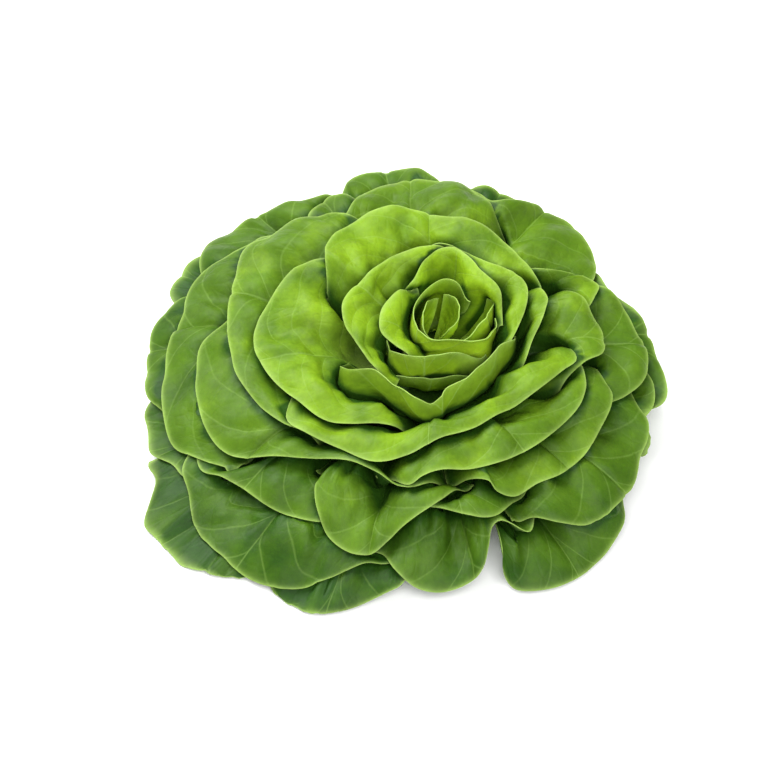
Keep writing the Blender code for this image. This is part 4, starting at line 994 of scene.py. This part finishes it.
def stemMaterial():
    material, tree, shader = newMaterial("stemFlesh")
    links = tree.links
    place = node(tree, "ShaderNodeTexCoord").outputs["Object"]
    apart = node(tree, "ShaderNodeSeparateXYZ")
    links.new(place, apart.inputs[0])
    low = math2(tree, "SUBTRACT", 1.0, math2(tree, "MULTIPLY", apart.outputs["Z"], 260.0, True), True)
    stain = math2(tree, "MULTIPLY", low, noise(tree, 190, 4, 0.6))
    colour = mixColour(tree, noise(tree, 120, 3), stemLook["flesh"], stemLook["skin"])
    colour = mixColour(tree, stain, colour, stemLook["browned"])
    links.new(colour, shader.inputs["Base Color"])
    rough = math2(tree, "ADD", math2(tree, "MULTIPLY", noise(tree, 300, 2), 0.3), 0.4)
    links.new(rough, shader.inputs["Roughness"])
    bump = node(tree, "ShaderNodeBump")
    bump.inputs["Strength"].default_value = 0.4
    bump.inputs["Distance"].default_value = 0.0005
    links.new(noise(tree, 500, 4), bump.inputs["Height"])
    links.new(bump.outputs["Normal"], shader.inputs["Normal"])
    return material


print("laying out the leaves")
listed = [(name, rim, headShape["heartLean"]) for name, rim in heartLeaves]
listed += [(name, rim, 0.0) for name, rim in bodyLeaves]
leaves = [layOut(index, name, rim, centre, len(listed)) for index, (name, rim, centre) in enumerate(listed)]
print("stacking them from the heart to the table")
stackLeaves(leaves)
settleLow(leaves)
print("finding the gaps between them")
markGaps(leaves)

upperFace = leafMaterial("leafUpperFace", False)
underFace = leafMaterial("leafUnderFace", True)
triangles = 0
for leaf in leaves:
    blade = addLeaf(leaf, (upperFace, underFace))
    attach(blade, "root")
    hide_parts(leaf["name"])
    triangles += sum(len(face.vertices) - 2 for face in blade.data.polygons)
print("leaves made:", len(leaves), "triangles:", triangles)

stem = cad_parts["stem"]
stem.material_slots[0].material = stemMaterial()

# floor, light and camera
studio = {
    "floorSize": 6.0,
    "floorColour": (0.95, 0.95, 0.95),
    "worldColour": (1.0, 1.0, 1.0),
    "worldStrength": 0.40,
    "keyPower": 158.0,
    "keySize": 2.2,
    "keyPlace": (-1.2, 1.2, 2.3),
    "fillPower": 76.0,
    "fillPlace": (0.4, -1.5, 2.0),
    "elevation": 52.0,
    "lens": 600.0,
    "frameWidth": 780 * 0.537 * mm,
    "aim": (-30 * 0.537 * mm, 17 * 0.537 * mm),
}


def pointAt(thing, target):
    way = Vector(target) - thing.location
    thing.rotation_euler = way.to_track_quat("-Z", "Y").to_euler()


def areaLight(name, place, power, size):
    bpy.ops.object.light_add(type="AREA", location=place)
    lamp = bpy.context.object
    lamp.name = name
    lamp.data.energy = power
    lamp.data.size = size
    pointAt(lamp, (0, 0, 0.03))
    return lamp


bpy.ops.object.select_all(action="DESELECT")
bpy.ops.mesh.primitive_plane_add(size=studio["floorSize"], location=(0, 0, 0))
floor = bpy.context.object
floor.name = "studioFloor"
floorMaterial, floorTree, floorShader = newMaterial("palePaper")
floorShader.inputs["Base Color"].default_value = (*studio["floorColour"], 1)
floorShader.inputs["Roughness"].default_value = 0.9
floor.data.materials.append(floorMaterial)

world = bpy.data.worlds.new("softSky")
world.use_nodes = True
world.node_tree.nodes["Background"].inputs[0].default_value = (*studio["worldColour"], 1)
world.node_tree.nodes["Background"].inputs[1].default_value = studio["worldStrength"]
bpy.context.scene.world = world
areaLight("keyLight", studio["keyPlace"], studio["keyPower"], studio["keySize"])
areaLight("fillLight", studio["fillPlace"], studio["fillPower"], 2.0)
bpy.context.scene.view_settings.view_transform = "Standard"

lift = math.radians(studio["elevation"])
way = Vector((0, -math.cos(lift), math.sin(lift)))
upInFrame = Vector((0, math.sin(lift), math.cos(lift)))
target = Vector((studio["aim"][0], 0, 0)) + upInFrame * studio["aim"][1]
bpy.ops.object.camera_add()
camera = bpy.context.object
camera.name = "photoCamera"
camera.data.lens = studio["lens"]
camera.data.sensor_width = 36.0
camera.location = target + way * (studio["frameWidth"] * studio["lens"] / 36.0)
camera.data.clip_end = 50.0
pointAt(camera, target)
bpy.context.scene.camera = camera
